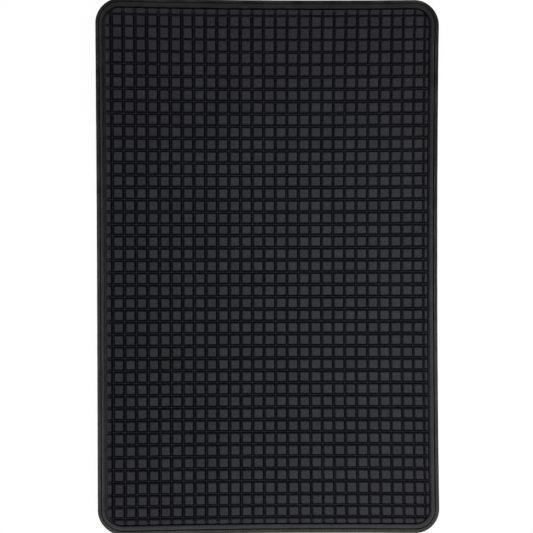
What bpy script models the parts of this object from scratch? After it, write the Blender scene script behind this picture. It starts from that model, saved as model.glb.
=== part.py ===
"""Seedling heat mat: a rubber tray and rim that hold a studded top over an electric heating element.

Metres, +Z up. The origin is the centre of the underside. +Y points to the rear edge, where the
cord enters, and +X to the right as the mat is seen from above.
"""

import math

import bmesh
import bpy

# Whole mat
MAT_WIDTH = 0.3556
MAT_LENGTH = 0.5588
CORNER_RADIUS = 0.026
LEAST_RADIUS = 0.001
FIT_GAP = 0.0003

# Tray and rim
FLOOR_THICKNESS = 0.002
WALL_THICKNESS = 0.0036
WALL_EDGE = 0.0006
WALL_BELOW_RIM = 0.0012
SEAM_GAP = 0.0004
RIM_WIDTH = 0.0047
RIM_EDGE = 0.0009
RIM_BELOW_STUDS = 0.0004
LEDGE_WIDTH = 0.007

# Studded sheet, cut from stock: the cuts are the widths left of the first column and of the rear row,
# and the squeezes are how much narrower the last whole studs are on three sides
WEB_THICKNESS = 0.0016
STUD_WIDTH = 0.0085
STUD_LENGTH = 0.0087
STUD_HEIGHT = 0.0031
SHORT_STUD = 0.00755
COLUMN_GAP = 0.00354
ROW_GAP = 0.00414
SHEET_JOINT = 0.0019
LEFT_CUT = 0.00565
REAR_CUT = 0.00525
RIGHT_SQUEEZE = 0.0011
REAR_SQUEEZE = 0.0008
FRONT_SQUEEZE = 0.0007
REAR_ROWS = 18

# Element layers, from the tray's floor up
PAD_THICKNESS = 0.002
CARRIER_THICKNESS = 0.0003
WIRE_DIAMETER = 0.0018
TAPE_THICKNESS = 0.0002
SPREADER_THICKNESS = 0.0003

# Heating wire and its tapes
WIRE_PASSES = 12
WIRE_SIDE_MARGIN = 0.019
WIRE_FRONT_MARGIN = 0.012
WIRE_CORNER = 0.008
RUN_INSET = 0.006
RUN_SPACING = 0.009
COLD_STRIP = 0.02
TAPE_WIDTH = 0.012
TAPE_OVERHANG = 0.008

# Joints, leads and limiter in the terminal pocket
LEAD_DIAMETER = 0.0022
LEAD_BEND = 0.005
LEAD_TURN = 0.0042
LEAD_STUB = 0.0012
LEAD_INSERT = 0.005
ELEMENT_CRIMP_LENGTH = 0.006
ELEMENT_CRIMP_DIAMETER = 0.0024
SLEEVE_OVERLAP = 0.003
SLEEVE_WALL = 0.0005
CORD_CRIMP_LENGTH = 0.014
CORD_CRIMP_WALL = 0.0003
CORD_CRIMP_SPACING = 0.007
CORD_CRIMP_INSET = 0.008
CUTOUT_LENGTH = 0.018
CUTOUT_WIDTH = 0.007
CUTOUT_HEIGHT = 0.004
CUTOUT_EDGE = 0.0006
POCKET_MARGIN = 0.0015
EARTH_TAB_WIDTH = 0.006
EARTH_TAB_LENGTH = 0.014
EARTH_TAB_THICKNESS = 0.0004
EARTH_TAB_REACH = 0.0026
BED_THICKNESS = 0.0014

# Gland for a flat three-core cord
CORD_SLOT_WIDTH = 0.0104
CORD_SLOT_HEIGHT = 0.0044
GLAND_WALL = 0.001
GLAND_MOUTH = 0.0004
GLAND_LIP = 0.0024
GLAND_FLANGE_THICKNESS = 0.0017
GLAND_FLANGE_REACH = 0.003
GLAND_FLANGE_RISE = 0.0003

# Facets
CORNER_STEPS = 5
LAYER_CORNER_STEPS = 3
GLAND_CORNER_STEPS = 2
CUTOUT_CORNER_STEPS = 1
BARREL_SIDES = 8
TURN_STEPS = 4
BEND_STEPS = 3
SMOOTH_ANGLE = math.radians(30)
TRIM_TOLERANCE = 1e-7

# Heights, worked out from the layers
pad_bottom = FLOOR_THICKNESS + FIT_GAP
carrier_bottom = pad_bottom + PAD_THICKNESS + FIT_GAP
wire_bottom = carrier_bottom + CARRIER_THICKNESS + FIT_GAP
wire_height = wire_bottom + WIRE_DIAMETER / 2
tape_bottom = wire_bottom + WIRE_DIAMETER + FIT_GAP
spreader_bottom = tape_bottom + TAPE_THICKNESS + FIT_GAP
sheet_bottom = spreader_bottom + SPREADER_THICKNESS + FIT_GAP
groove_floor = sheet_bottom + WEB_THICKNESS
stud_top = groove_floor + STUD_HEIGHT
rim_top = stud_top - RIM_BELOW_STUDS
wall_top = rim_top - WALL_BELOW_RIM
ledge_top = sheet_bottom - FIT_GAP

# Insets from the mat's outer edge
rim_outer = WALL_THICKNESS + SEAM_GAP
rim_inner = rim_outer + RIM_WIDTH
sheet_inset = rim_inner + SHEET_JOINT
cavity_inset = rim_inner + LEDGE_WIDTH
layer_inset = cavity_inset + FIT_GAP

# Studded sheet's places
column_pitch = STUD_WIDTH + COLUMN_GAP
row_pitch = STUD_LENGTH + ROW_GAP
sheet_right = MAT_WIDTH / 2 - sheet_inset
sheet_rear = MAT_LENGTH / 2 - sheet_inset
sheet_joint_y = sheet_rear - REAR_CUT - (REAR_ROWS - 1) * row_pitch - SHORT_STUD - ROW_GAP

# Terminal pocket's places, all measured from its contents
cavity_rear = MAT_LENGTH / 2 - cavity_inset
cavity_right = MAT_WIDTH / 2 - cavity_inset
run_y = cavity_rear - RUN_INSET
limiter_x = CORD_CRIMP_SPACING + 2 * LEAD_TURN
lead_bend_x = limiter_x + LEAD_BEND
lead_start_x = lead_bend_x + LEAD_STUB + SLEEVE_OVERLAP
crimp_start_x = lead_start_x + FIT_GAP
wire_end_x = crimp_start_x + ELEMENT_CRIMP_LENGTH + FIT_GAP
pocket_half = wire_end_x + SLEEVE_OVERLAP + POCKET_MARGIN
limiter_rear = run_y - LEAD_BEND - LEAD_STUB - FIT_GAP
limiter_front = limiter_rear - CUTOUT_LENGTH
lead_turn_y = limiter_front - FIT_GAP - LEAD_STUB
pocket_front = lead_turn_y - LEAD_TURN - LEAD_DIAMETER / 2 - EARTH_TAB_REACH - POCKET_MARGIN
cord_crimp_mouth = cavity_rear - CORD_CRIMP_INSET
cord_crimp_front = cord_crimp_mouth - CORD_CRIMP_LENGTH
lead_end_y = cord_crimp_front + LEAD_INSERT

# Gland's places
gland_width = CORD_SLOT_WIDTH + 2 * GLAND_WALL
gland_height = CORD_SLOT_HEIGHT + 2 * GLAND_WALL
gland_bottom = FLOOR_THICKNESS + 2 * FIT_GAP
gland_centre = gland_bottom + gland_height / 2
gland_top = gland_bottom + gland_height
flange_width = gland_width + 2 * GLAND_FLANGE_REACH
flange_height = gland_height + 2 * GLAND_FLANGE_RISE
flange_front = rim_outer + GLAND_LIP + FIT_GAP
flange_back = flange_front + GLAND_FLANGE_THICKNESS


def rounded_rectangle(width, length, radius, steps):
    """Points of a rounded rectangle about the origin, anticlockwise from its right side's rear corner."""
    points = []
    for quarter, (side_x, side_y) in enumerate(((1, 1), (-1, 1), (-1, -1), (1, -1))):
        centre_x = side_x * (width / 2 - radius)
        centre_y = side_y * (length / 2 - radius)
        for step in range(steps + 1):
            angle = math.pi / 2 * (quarter + step / steps)
            points.append((centre_x + radius * math.cos(angle), centre_y + radius * math.sin(angle)))
    return points


def mat_outline(inset, steps=CORNER_STEPS):
    """The mat's outline, moved in from its outer edge."""
    radius = max(CORNER_RADIUS - inset, LEAST_RADIUS)
    return rounded_rectangle(MAT_WIDTH - 2 * inset, MAT_LENGTH - 2 * inset, radius, steps)


def circle(diameter):
    """Points of a circle about the origin."""
    angles = [2 * math.pi * step / BARREL_SIDES for step in range(BARREL_SIDES)]
    return [(diameter / 2 * math.cos(angle), diameter / 2 * math.sin(angle)) for angle in angles]


def finish(name, colour, roughness, metallic=0.0):
    """A plain surface finish."""
    material = bpy.data.materials.new(name)
    material.use_nodes = True
    shader = material.node_tree.nodes["Principled BSDF"]
    shader.inputs["Base Color"].default_value = (*colour, 1.0)
    shader.inputs["Roughness"].default_value = roughness
    shader.inputs["Metallic"].default_value = metallic
    return material


def add_object(name, data, material):
    """Puts a piece's mesh or curve in the scene, on the mat."""
    piece = bpy.data.objects.new(name, data)
    bpy.context.scene.collection.objects.link(piece)
    piece.parent = mat
    data.materials.append(material)
    return piece


def add_mesh(name, bm, material):
    """Closes a modelled mesh off as a piece, with its faces pointing out."""
    bmesh.ops.recalc_face_normals(bm, faces=bm.faces)
    mesh = bpy.data.meshes.new(name)
    bm.to_mesh(mesh)
    bm.free()
    mesh.shade_smooth()
    mesh.set_sharp_from_angle(angle=SMOOTH_ANGLE)
    return add_object(name, mesh, material)


def loft(rings, ring_closed=False):
    """A mesh through rings of (outline, height). It has flat caps, or its last ring joins its first."""
    bm = bmesh.new()
    levels = []
    for outline, height in rings:
        levels.append([bm.verts.new((x, y, height)) for x, y in outline])
    pairs = list(zip(levels, levels[1:]))
    if ring_closed:
        pairs.append((levels[-1], levels[0]))
    else:
        bm.faces.new(levels[0])
        bm.faces.new(levels[-1])
    for lower, upper in pairs:
        for index, corner in enumerate(lower):
            before = index - 1
            bm.faces.new((lower[before], corner, upper[index], upper[before]))
    return bm


def add_sheet(name, outline, bottom, thickness, material):
    """A flat piece of one thickness."""
    return add_mesh(name, loft([(outline, bottom), (outline, bottom + thickness)]), material)


def add_box(name, low, high, material):
    """A plain rectangular piece between two corners."""
    outline = [(low[0], low[1]), (high[0], low[1]), (high[0], high[1]), (low[0], high[1])]
    return add_sheet(name, outline, low[2], high[2] - low[2], material)


def cut(piece, cutter):
    """Cuts one piece by another, which stays as a hidden guide."""
    cutter.hide_render = True
    cutter.display_type = "WIRE"
    boolean = piece.modifiers.new(cutter.name, "BOOLEAN")
    boolean.operation = "DIFFERENCE"
    boolean.solver = "EXACT"
    boolean.object = cutter


def turn_along_y(piece, y, z):
    """Lays a piece modelled along Z along Y, starting at the given place."""
    piece.rotation_euler = (-math.pi / 2, 0, 0)
    piece.location = (piece.location.x, y, z)


def add_tube(name, route, diameter, material):
    """A round wire through plan points, at the wire's height."""
    curve = bpy.data.curves.new(name, "CURVE")
    curve.dimensions = "3D"
    curve.bevel_depth = diameter / 2
    curve.bevel_resolution = 1
    curve.use_fill_caps = True
    spline = curve.splines.new("POLY")
    spline.points.add(len(route) - 1)
    for point, (x, y) in zip(spline.points, route):
        point.co = (x, y, wire_height, 1.0)
    return add_object(name, curve, material)


def arc(centre, radius, start, sweep, steps):
    """Plan points along an arc, its two ends included. Angles are in quarter turns."""
    points = []
    for step in range(steps + 1):
        angle = math.pi / 2 * (start + sweep * step / steps)
        points.append((centre[0] + radius * math.cos(angle), centre[1] + radius * math.sin(angle)))
    return points


def mirrored(route):
    """A route on the other side of the mat's centre line."""
    return [(-x, y) for x, y in route]


def add_tray():
    """The tray: its floor is the underside of the mat and its wall the outer band round the rim."""
    rings = [
        (mat_outline(WALL_EDGE), 0.0),
        (mat_outline(0.0), WALL_EDGE),
        (mat_outline(0.0), wall_top - WALL_EDGE),
        (mat_outline(WALL_EDGE), wall_top),
        (mat_outline(WALL_THICKNESS), wall_top),
        (mat_outline(WALL_THICKNESS), FLOOR_THICKNESS),
    ]
    return add_mesh("base_tray", loft(rings), tray_rubber)


def add_rim():
    """The rim: an L in section, whose ledge carries the edge of the studded sheet all round."""
    profile = [
        (rim_outer, FLOOR_THICKNESS + FIT_GAP),
        (rim_outer, rim_top - RIM_EDGE),
        (rim_outer + RIM_EDGE, rim_top),
        (rim_inner - RIM_EDGE, rim_top),
        (rim_inner, rim_top - RIM_EDGE),
        (rim_inner, ledge_top),
        (cavity_inset, ledge_top),
        (cavity_inset, FLOOR_THICKNESS + FIT_GAP),
    ]
    rings = [(mat_outline(inset), height) for inset, height in profile]
    return add_mesh("rim_frame", loft(rings, ring_closed=True), rim_rubber)


def groove_lines(first, pitch, last, squeeze):
    """Groove centre lines from first until one lies past last. The last whole stud is narrower by squeeze."""
    direction = math.copysign(1, pitch)
    lines = [first]
    while (last - lines[-1]) * direction > -squeeze:
        lines.append(lines[-1] + pitch)
    lines[-2:] = [line - direction * squeeze for line in lines[-2:]]
    return lines


def stud_field(columns, rows):
    """Studs with tapered walls, one between each two neighbouring grooves each way."""
    bm = bmesh.new()
    grooves = {}
    for x in columns:
        for y in rows:
            grooves[x, y] = bm.verts.new((x, y, groove_floor))
    for left, right in zip(columns, columns[1:]):
        for front, rear in zip(rows, rows[1:]):
            inset_x = COLUMN_GAP / 2
            inset_y = math.copysign(ROW_GAP / 2, rear - front)
            foot = [grooves[x, y] for x, y in ((left, front), (right, front), (right, rear), (left, rear))]
            top = [
                bm.verts.new((x, y, stud_top))
                for x, y in (
                    (left + inset_x, front + inset_y),
                    (right - inset_x, front + inset_y),
                    (right - inset_x, rear - inset_y),
                    (left + inset_x, rear - inset_y),
                )
            ]
            bm.faces.new(top)
            for index in range(len(top)):
                bm.faces.new((foot[index - 1], foot[index], top[index], top[index - 1]))
    return bm


def trim(bm, point, outward):
    """Cuts away what lies past an upright plane."""
    everything = bm.verts[:] + bm.edges[:] + bm.faces[:]
    bmesh.ops.bisect_plane(
        bm,
        geom=everything,
        dist=TRIM_TOLERANCE,
        plane_co=(*point, 0.0),
        plane_no=(*outward, 0.0),
        clear_outer=True,
    )


def add_stud_sheet(name, rows):
    """One length of studded sheet, cut to the rim's opening. It ends in its first groove line."""
    columns = groove_lines(LEFT_CUT - sheet_right - column_pitch, column_pitch, sheet_right, RIGHT_SQUEEZE)
    bm = stud_field(columns, rows)
    outline = mat_outline(sheet_inset)
    for index, (x, y) in enumerate(outline):
        before_x, before_y = outline[index - 1]
        trim(bm, (x, y), (y - before_y, before_x - x))
    top_edges = [edge for edge in bm.edges if edge.is_boundary]
    skirt = bmesh.ops.extrude_edge_only(bm, edges=top_edges)["geom"]
    for element in skirt:
        if isinstance(element, bmesh.types.BMVert):
            element.co.z = sheet_bottom
    bottom_edges = [edge for edge in bm.edges if edge.is_boundary]
    bmesh.ops.contextual_create(bm, geom=bottom_edges)
    return add_mesh(name, bm, stud_rubber)


def add_stud_sheets():
    """The two lengths, butted in the groove after the shortened row."""
    last_regular = sheet_joint_y + SHORT_STUD + ROW_GAP
    rear_rows = groove_lines(last_regular, row_pitch, sheet_rear, REAR_SQUEEZE)
    add_stud_sheet("rear_stud_sheet", [sheet_joint_y + FIT_GAP / 2, *rear_rows])
    front_rows = groove_lines(sheet_joint_y - row_pitch, -row_pitch, -sheet_rear, FRONT_SQUEEZE)
    add_stud_sheet("front_stud_sheet", [sheet_joint_y - FIT_GAP / 2, *front_rows])


def layer_outline():
    """A layer of the element: it fills the rim's opening, with a notch for the terminal pocket."""
    outline = mat_outline(layer_inset, LAYER_CORNER_STEPS)
    rear = MAT_LENGTH / 2 - layer_inset
    notch = [
        (pocket_half, rear),
        (pocket_half, pocket_front),
        (-pocket_half, pocket_front),
        (-pocket_half, rear),
    ]
    first_corner = LAYER_CORNER_STEPS + 1
    return outline[:first_corner] + notch + outline[first_corner:]


def add_layers():
    """The flat layers under and over the wire."""
    outline = layer_outline()
    add_sheet("insulation_pad", outline, pad_bottom, PAD_THICKNESS, foam)
    add_sheet("wire_carrier", outline, carrier_bottom, CARRIER_THICKNESS, glass_scrim)
    add_sheet("heat_spreader", outline, spreader_bottom, SPREADER_THICKNESS, foil)


def wire_route():
    """Plan points of the heating wire, from its line end to its neutral end."""
    outer_pass = cavity_right - WIRE_SIDE_MARGIN
    pitch = 2 * outer_pass / (WIRE_PASSES - 1)
    turn = pitch / 2
    front_turn = WIRE_FRONT_MARGIN - cavity_rear + turn
    corner = (WIRE_CORNER - outer_pass, run_y - WIRE_CORNER)
    start = [(-wire_end_x, run_y), *arc(corner, WIRE_CORNER, 1, 1, BEND_STEPS)]
    route = list(start)
    for index in range(WIRE_PASSES - 1):
        middle = -outer_pass + (index + 0.5) * pitch
        if index % 2 == 0:
            route += arc((middle, front_turn), turn, 2, 2, TURN_STEPS)
        else:
            beside_pocket = abs(middle) - turn - WIRE_DIAMETER / 2 > pocket_half
            rear_end = run_y - RUN_SPACING if beside_pocket else pocket_front - COLD_STRIP
            route += arc((middle, rear_end - turn), turn, 2, -2, TURN_STEPS)
    return route + mirrored(start)[::-1]


def add_element():
    """The heating wire and the tapes that hold its passes."""
    add_tube("heating_wire", wire_route(), WIRE_DIAMETER, wire_jacket)
    half = cavity_right - WIRE_SIDE_MARGIN + TAPE_OVERHANG
    front = WIRE_FRONT_MARGIN - cavity_rear
    places = ("front", "middle", "rear")
    spacing = (pocket_front - COLD_STRIP - front) / len(places)
    for index, place in enumerate(places):
        middle = front + spacing * (index + 0.5)
        low = (-half, middle - TAPE_WIDTH / 2, tape_bottom)
        high = (half, middle + TAPE_WIDTH / 2, tape_bottom + TAPE_THICKNESS)
        add_box(f"fixing_tape_{place}", low, high, glass_tape)


def barrel(length, diameter, bore=0.0):
    """A round barrel along Z, with a through bore where one is given."""
    outer = circle(diameter)
    if not bore:
        return loft([(outer, 0.0), (outer, length)])
    inner = circle(bore)
    return loft([(outer, 0.0), (outer, length), (inner, length), (inner, 0.0)], ring_closed=True)


def add_element_joint(name, side):
    """One end of the wire: a crimp barrel between wire and lead, under a shrink sleeve."""
    crimp = add_mesh(f"{name}_element_crimp", barrel(ELEMENT_CRIMP_LENGTH, ELEMENT_CRIMP_DIAMETER), brass)
    bore = max(ELEMENT_CRIMP_DIAMETER, LEAD_DIAMETER, WIRE_DIAMETER) + 2 * FIT_GAP
    sleeve_length = ELEMENT_CRIMP_LENGTH + 2 * SLEEVE_OVERLAP
    sleeve_body = barrel(sleeve_length, bore + 2 * SLEEVE_WALL, bore)
    sleeve = add_mesh(f"{name}_crimp_sleeve", sleeve_body, shrink_sleeve)
    middle = crimp_start_x + ELEMENT_CRIMP_LENGTH / 2
    for piece, length in ((crimp, ELEMENT_CRIMP_LENGTH), (sleeve, sleeve_length)):
        piece.rotation_euler = (0, math.pi / 2, 0)
        piece.location = (side * middle - length / 2, run_y, wire_height)


def add_cord_crimp(name, x):
    """An open butt crimp: the lead fills its front half and its rear mouth faces the gland."""
    bore = LEAD_DIAMETER + 2 * FIT_GAP
    crimp = add_mesh(f"{name}_cord_crimp", barrel(CORD_CRIMP_LENGTH, bore + 2 * CORD_CRIMP_WALL, bore), brass)
    crimp.location.x = x
    turn_along_y(crimp, cord_crimp_front, wire_height)


def add_leads():
    """The cold leads between the wire's joints, the limiter, the earth tab and the cord's crimps."""
    bend = arc((-lead_bend_x, run_y - LEAD_BEND), LEAD_BEND, 1, -1, BEND_STEPS)
    from_joint = [(-lead_start_x, run_y), *bend]
    turn = arc((-CORD_CRIMP_SPACING - LEAD_TURN, lead_turn_y), LEAD_TURN, 2, 2, TURN_STEPS)
    to_crimp = [*turn, (-CORD_CRIMP_SPACING, lead_end_y)]
    to_limiter = [(-limiter_x, limiter_rear + FIT_GAP)]
    from_limiter = [(-limiter_x, limiter_front - FIT_GAP)]
    add_tube("cutout_lead", from_joint + to_limiter, LEAD_DIAMETER, line_jacket)
    add_tube("line_lead", from_limiter + to_crimp, LEAD_DIAMETER, line_jacket)
    add_tube("neutral_lead", mirrored(from_joint + to_crimp), LEAD_DIAMETER, neutral_jacket)
    earth_start = pocket_front + EARTH_TAB_REACH + FIT_GAP
    add_tube("earth_lead", [(0.0, earth_start), (0.0, lead_end_y)], LEAD_DIAMETER, earth_jacket)


def add_cutout():
    """The limiter: a flat bimetal switch that opens the line side if the mat runs too hot."""
    outline = rounded_rectangle(CUTOUT_WIDTH, CUTOUT_LENGTH, CUTOUT_EDGE, CUTOUT_CORNER_STEPS)
    piece = add_sheet("thermal_cutout", outline, -CUTOUT_HEIGHT / 2, CUTOUT_HEIGHT, limiter_case)
    piece.location = (-limiter_x, (limiter_front + limiter_rear) / 2, wire_height)


def add_earth_tab():
    """The earth tab: a blade under the foil, bent down at the pocket to take the earth lead."""
    lug_face = pocket_front + EARTH_TAB_REACH
    blade_top = spreader_bottom - FIT_GAP
    blade_bottom = blade_top - EARTH_TAB_THICKNESS
    lug_bottom = wire_height - LEAD_DIAMETER / 2
    side = [
        (lug_face, lug_bottom),
        (lug_face, blade_top),
        (lug_face - EARTH_TAB_LENGTH, blade_top),
        (lug_face - EARTH_TAB_LENGTH, blade_bottom),
        (lug_face - EARTH_TAB_THICKNESS, blade_bottom),
        (lug_face - EARTH_TAB_THICKNESS, lug_bottom),
    ]
    piece = add_sheet("earth_tab", side, -EARTH_TAB_WIDTH / 2, EARTH_TAB_WIDTH, brass)
    piece.rotation_euler = (math.pi / 2, 0, math.pi / 2)


def add_terminals():
    """Everything in the terminal pocket."""
    bed_half = pocket_half - POCKET_MARGIN
    bed_low = (-bed_half, pocket_front + FIT_GAP, FLOOR_THICKNESS + FIT_GAP)
    bed_high = (bed_half, cavity_rear - POCKET_MARGIN, FLOOR_THICKNESS + FIT_GAP + BED_THICKNESS)
    add_box("terminal_bed", bed_low, bed_high, foam)
    add_element_joint("line", -1)
    add_element_joint("neutral", 1)
    for name, x in (("line", -CORD_CRIMP_SPACING), ("earth", 0.0), ("neutral", CORD_CRIMP_SPACING)):
        add_cord_crimp(name, x)
    add_leads()
    add_cutout()
    add_earth_tab()


def gland_outline(margin):
    """The gland's section, grown by a margin all round."""
    radius = GLAND_WALL + margin
    return rounded_rectangle(gland_width + 2 * margin, gland_height + 2 * margin, radius, GLAND_CORNER_STEPS)


def add_gland(tray, rim):
    """The cord's gland: a sleeve through the rear wall, held by a flange in the rim's stepped notch."""
    slot = rounded_rectangle(CORD_SLOT_WIDTH, CORD_SLOT_HEIGHT, GLAND_WALL, GLAND_CORNER_STEPS)
    mouth = gland_outline(GLAND_MOUTH - GLAND_WALL)
    body = gland_outline(0.0)
    flange = rounded_rectangle(flange_width, flange_height, GLAND_WALL, GLAND_CORNER_STEPS)
    rings = [
        (body, 0.0),
        (body, -flange_front),
        (flange, -flange_front),
        (flange, -flange_back),
        (slot, -flange_back),
        (slot, -GLAND_MOUTH),
        (mouth, 0.0),
    ]
    gland = add_mesh("cord_grommet", loft(rings, ring_closed=True), grommet_rubber)
    turn_along_y(gland, MAT_LENGTH / 2, gland_centre)

    hole = gland_outline(FIT_GAP)
    hole_reach = WALL_THICKNESS + SEAM_GAP / 2
    hole_body = loft([(hole, -hole_reach), (hole, hole_reach)])
    hole_cutter = add_mesh("gland_hole_cutter", hole_body, grommet_rubber)
    turn_along_y(hole_cutter, MAT_LENGTH / 2, gland_centre)
    cut(tray, hole_cutter)

    neck_half = gland_width / 2 + FIT_GAP
    neck_front = MAT_LENGTH / 2 - rim_outer + SEAM_GAP
    neck_back = MAT_LENGTH / 2 - flange_back
    neck_low = (-neck_half, neck_back, FLOOR_THICKNESS)
    neck_high = (neck_half, neck_front, gland_top + FIT_GAP)
    cut(rim, add_box("gland_neck_cutter", neck_low, neck_high, grommet_rubber))

    channel_half = flange_width / 2 + FIT_GAP
    channel_front = MAT_LENGTH / 2 - flange_front + FIT_GAP
    channel_back = cavity_rear - FIT_GAP
    channel_low = (-channel_half, channel_back, FLOOR_THICKNESS - FIT_GAP)
    channel_high = (channel_half, channel_front, gland_top + GLAND_FLANGE_RISE + FIT_GAP)
    cut(rim, add_box("gland_channel_cutter", channel_low, channel_high, grommet_rubber))


for leftover in list(bpy.data.objects):
    bpy.data.objects.remove(leftover, do_unlink=True)

stud_rubber = finish("stud_rubber", (0.028, 0.029, 0.032), 0.55)
rim_rubber = finish("rim_rubber", (0.030, 0.030, 0.033), 0.5)
tray_rubber = finish("tray_rubber", (0.031, 0.031, 0.028), 0.6)
grommet_rubber = finish("grommet_rubber", (0.02, 0.02, 0.02), 0.6)
foam = finish("foam", (0.55, 0.54, 0.5), 0.9)
glass_scrim = finish("glass_scrim", (0.75, 0.74, 0.68), 0.8)
glass_tape = finish("glass_tape", (0.8, 0.8, 0.78), 0.7)
foil = finish("foil", (0.85, 0.86, 0.87), 0.3, 1.0)
wire_jacket = finish("wire_jacket", (0.5, 0.06, 0.03), 0.5)
line_jacket = finish("line_jacket", (0.02, 0.02, 0.022), 0.5)
neutral_jacket = finish("neutral_jacket", (0.8, 0.8, 0.78), 0.5)
earth_jacket = finish("earth_jacket", (0.05, 0.3, 0.06), 0.5)
brass = finish("brass", (0.75, 0.6, 0.3), 0.35, 1.0)
shrink_sleeve = finish("shrink_sleeve", (0.015, 0.015, 0.015), 0.45)
limiter_case = finish("limiter_case", (0.03, 0.03, 0.035), 0.5)

mat = bpy.data.objects.new("heat_mat", None)
bpy.context.scene.collection.objects.link(mat)

base_tray = add_tray()
rim_frame = add_rim()
add_gland(base_tray, rim_frame)
add_layers()
add_element()
add_terminals()
add_stud_sheets()
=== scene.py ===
"""Looks of the seedling heat mat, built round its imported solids. Metres, +Z up."""

import math

import bmesh
import bpy
import numpy as np
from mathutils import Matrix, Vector, noise


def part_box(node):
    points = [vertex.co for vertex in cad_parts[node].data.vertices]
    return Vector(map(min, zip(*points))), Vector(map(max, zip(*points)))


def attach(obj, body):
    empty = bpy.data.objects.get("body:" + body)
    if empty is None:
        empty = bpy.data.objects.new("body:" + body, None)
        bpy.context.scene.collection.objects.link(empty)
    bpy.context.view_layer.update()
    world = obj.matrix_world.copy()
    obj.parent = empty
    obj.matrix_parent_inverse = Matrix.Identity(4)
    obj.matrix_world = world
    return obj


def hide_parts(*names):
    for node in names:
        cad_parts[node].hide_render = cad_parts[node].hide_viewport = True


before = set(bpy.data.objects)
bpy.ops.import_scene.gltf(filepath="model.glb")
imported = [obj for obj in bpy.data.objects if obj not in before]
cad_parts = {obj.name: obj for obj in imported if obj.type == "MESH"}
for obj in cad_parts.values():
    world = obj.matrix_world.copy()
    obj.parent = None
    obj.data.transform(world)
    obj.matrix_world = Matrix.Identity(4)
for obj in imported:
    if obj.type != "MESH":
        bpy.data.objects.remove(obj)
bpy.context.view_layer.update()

# Base tray. The mat's underside and outer wall are one moulding of black rubber. The wall's top edge is
# trimmed by hand after moulding, so it wanders a little and is scuffed to a dull olive grey.
tray_low, tray_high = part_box("base_tray")
pad_low, pad_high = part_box("insulation_pad")
FIT_GAP = 0.0003
CORNERS = ((1, 1), (-1, 1), (-1, -1), (1, -1))
CORNER_RADIUS = 0.026
CORNER_STEPS = 14
SIDE_STEP = 0.004
FILLET_STEPS = 4
SMOOTH_ANGLE = math.radians(40)
WALL_THICKNESS = 0.0036
WALL_TOP_FILLET = 0.0011
WALL_SEAM_FILLET = 0.0009
WALL_SPREAD = (-0.0003, -0.0003, 0.0, 0.0)
SEAM_SHIFT = (0.0004, -0.0003, 0.0, 0.0011)
UNDERSIDE_FILLET = 0.0012
FLAT_MARGIN = 0.003
TRIM_WANDER = 0.0003
TRIM_WAVES = (55.0, 210.0)
TRIM_SHARES = (0.6, 0.4)
DRAWN_IN_RIGHT = 0.0022
DRAWN_IN_REAR = 0.0018
DRAWN_IN_FRONT = 0.0014
SPREAD_RIGHT = 0.0007
SPREAD_LEFT = 0.0007
SPREAD_LEFT_POWER = 8
FLARE_LEFT = 0.001
FLARE_LEFT_POWER = 1.5
SKEW_REAR = 0.001
SKEW_REAR_POWER = 3
SKEW_FRONT = 0.0009
SKEW_FRONT_POWER = 6
CREEP_RIGHT = 0.0014
CREEP_MIDDLE_SHARE = 0.1
TUCK_FRONT = 0.0005
TUCK_FRONT_POWER = 12
CORNER_TUCKS = (0.0006, 0.0002, 0.0009, 0.0004)
# Painted shade: how dark the seam inside the wall is painted on each side.
WALL_SEAM_SHADE = (0.6, 0.4, 0.2, 1.0)
RUBBER_GLOSS = 0.1
RUBBER_PATCHES = (60.0, 4.0)
RUBBER_SPECKS = (900.0, 2.0)
RUBBER_SPECK_SHARE = 0.35
RUBBER_BLOOM = (0.36, 0.66)
RUBBER_DULLING = 0.06
MOULD_GRAIN = (2600.0, 3.0)
MOULD_GRAIN_DEPTH = 0.00006
TRAY_ROUGHNESS = 0.6
# Painted light: how much paler the tray is painted towards the front, where more light falls.
TRAY_FRONT_PAINTED_LIGHT = 0.6
TRAY_DEEP = (0.004, 0.0041, 0.003)
TRAY_PALE = (0.045, 0.0455, 0.039)
floor_top = pad_low.z - FIT_GAP


def drawn_in(x, y):
    """Where a point of the soft mat lies: its sides pull in between the corners, and it is a little skew.

    The higher its power, the nearer a move stays to its own edge of the mat."""
    along = 1 - (y / tray_high.y) ** 2
    across = 1 - (x / tray_high.x) ** 2
    right = max(x, 0) / tray_high.x
    left = max(-x, 0) / tray_high.x
    rear = max(y, 0) / tray_high.y
    front = max(-y, 0) / tray_high.y
    moved_x = x + right * (SPREAD_RIGHT - DRAWN_IN_RIGHT * along)
    half_way = 4 * right * (1 - right)
    moved_x += CREEP_RIGHT * half_way * (1 + CREEP_MIDDLE_SHARE - along)
    moved_x -= SPREAD_LEFT * left**SPREAD_LEFT_POWER + FLARE_LEFT * (left * rear) ** FLARE_LEFT_POWER
    moved_y = y - DRAWN_IN_REAR * across * math.sin(math.pi / 2 * rear) + DRAWN_IN_FRONT * across * front
    moved_y += TUCK_FRONT * front**TUCK_FRONT_POWER
    moved_y -= SKEW_REAR * rear**SKEW_REAR_POWER * x / tray_high.x
    moved_y -= SKEW_FRONT * front**SKEW_FRONT_POWER * left
    corner = CORNERS.index((math.copysign(1, x), math.copysign(1, y)))
    into_x = max(abs(x) - tray_high.x + CORNER_RADIUS, 0) / CORNER_RADIUS
    into_y = max(abs(y) - tray_high.y + CORNER_RADIUS, 0) / CORNER_RADIUS
    tuck = CORNER_TUCKS[corner] * math.sqrt(2) * into_x * into_y
    return moved_x - math.copysign(tuck, x), moved_y - math.copysign(tuck, y)


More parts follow.
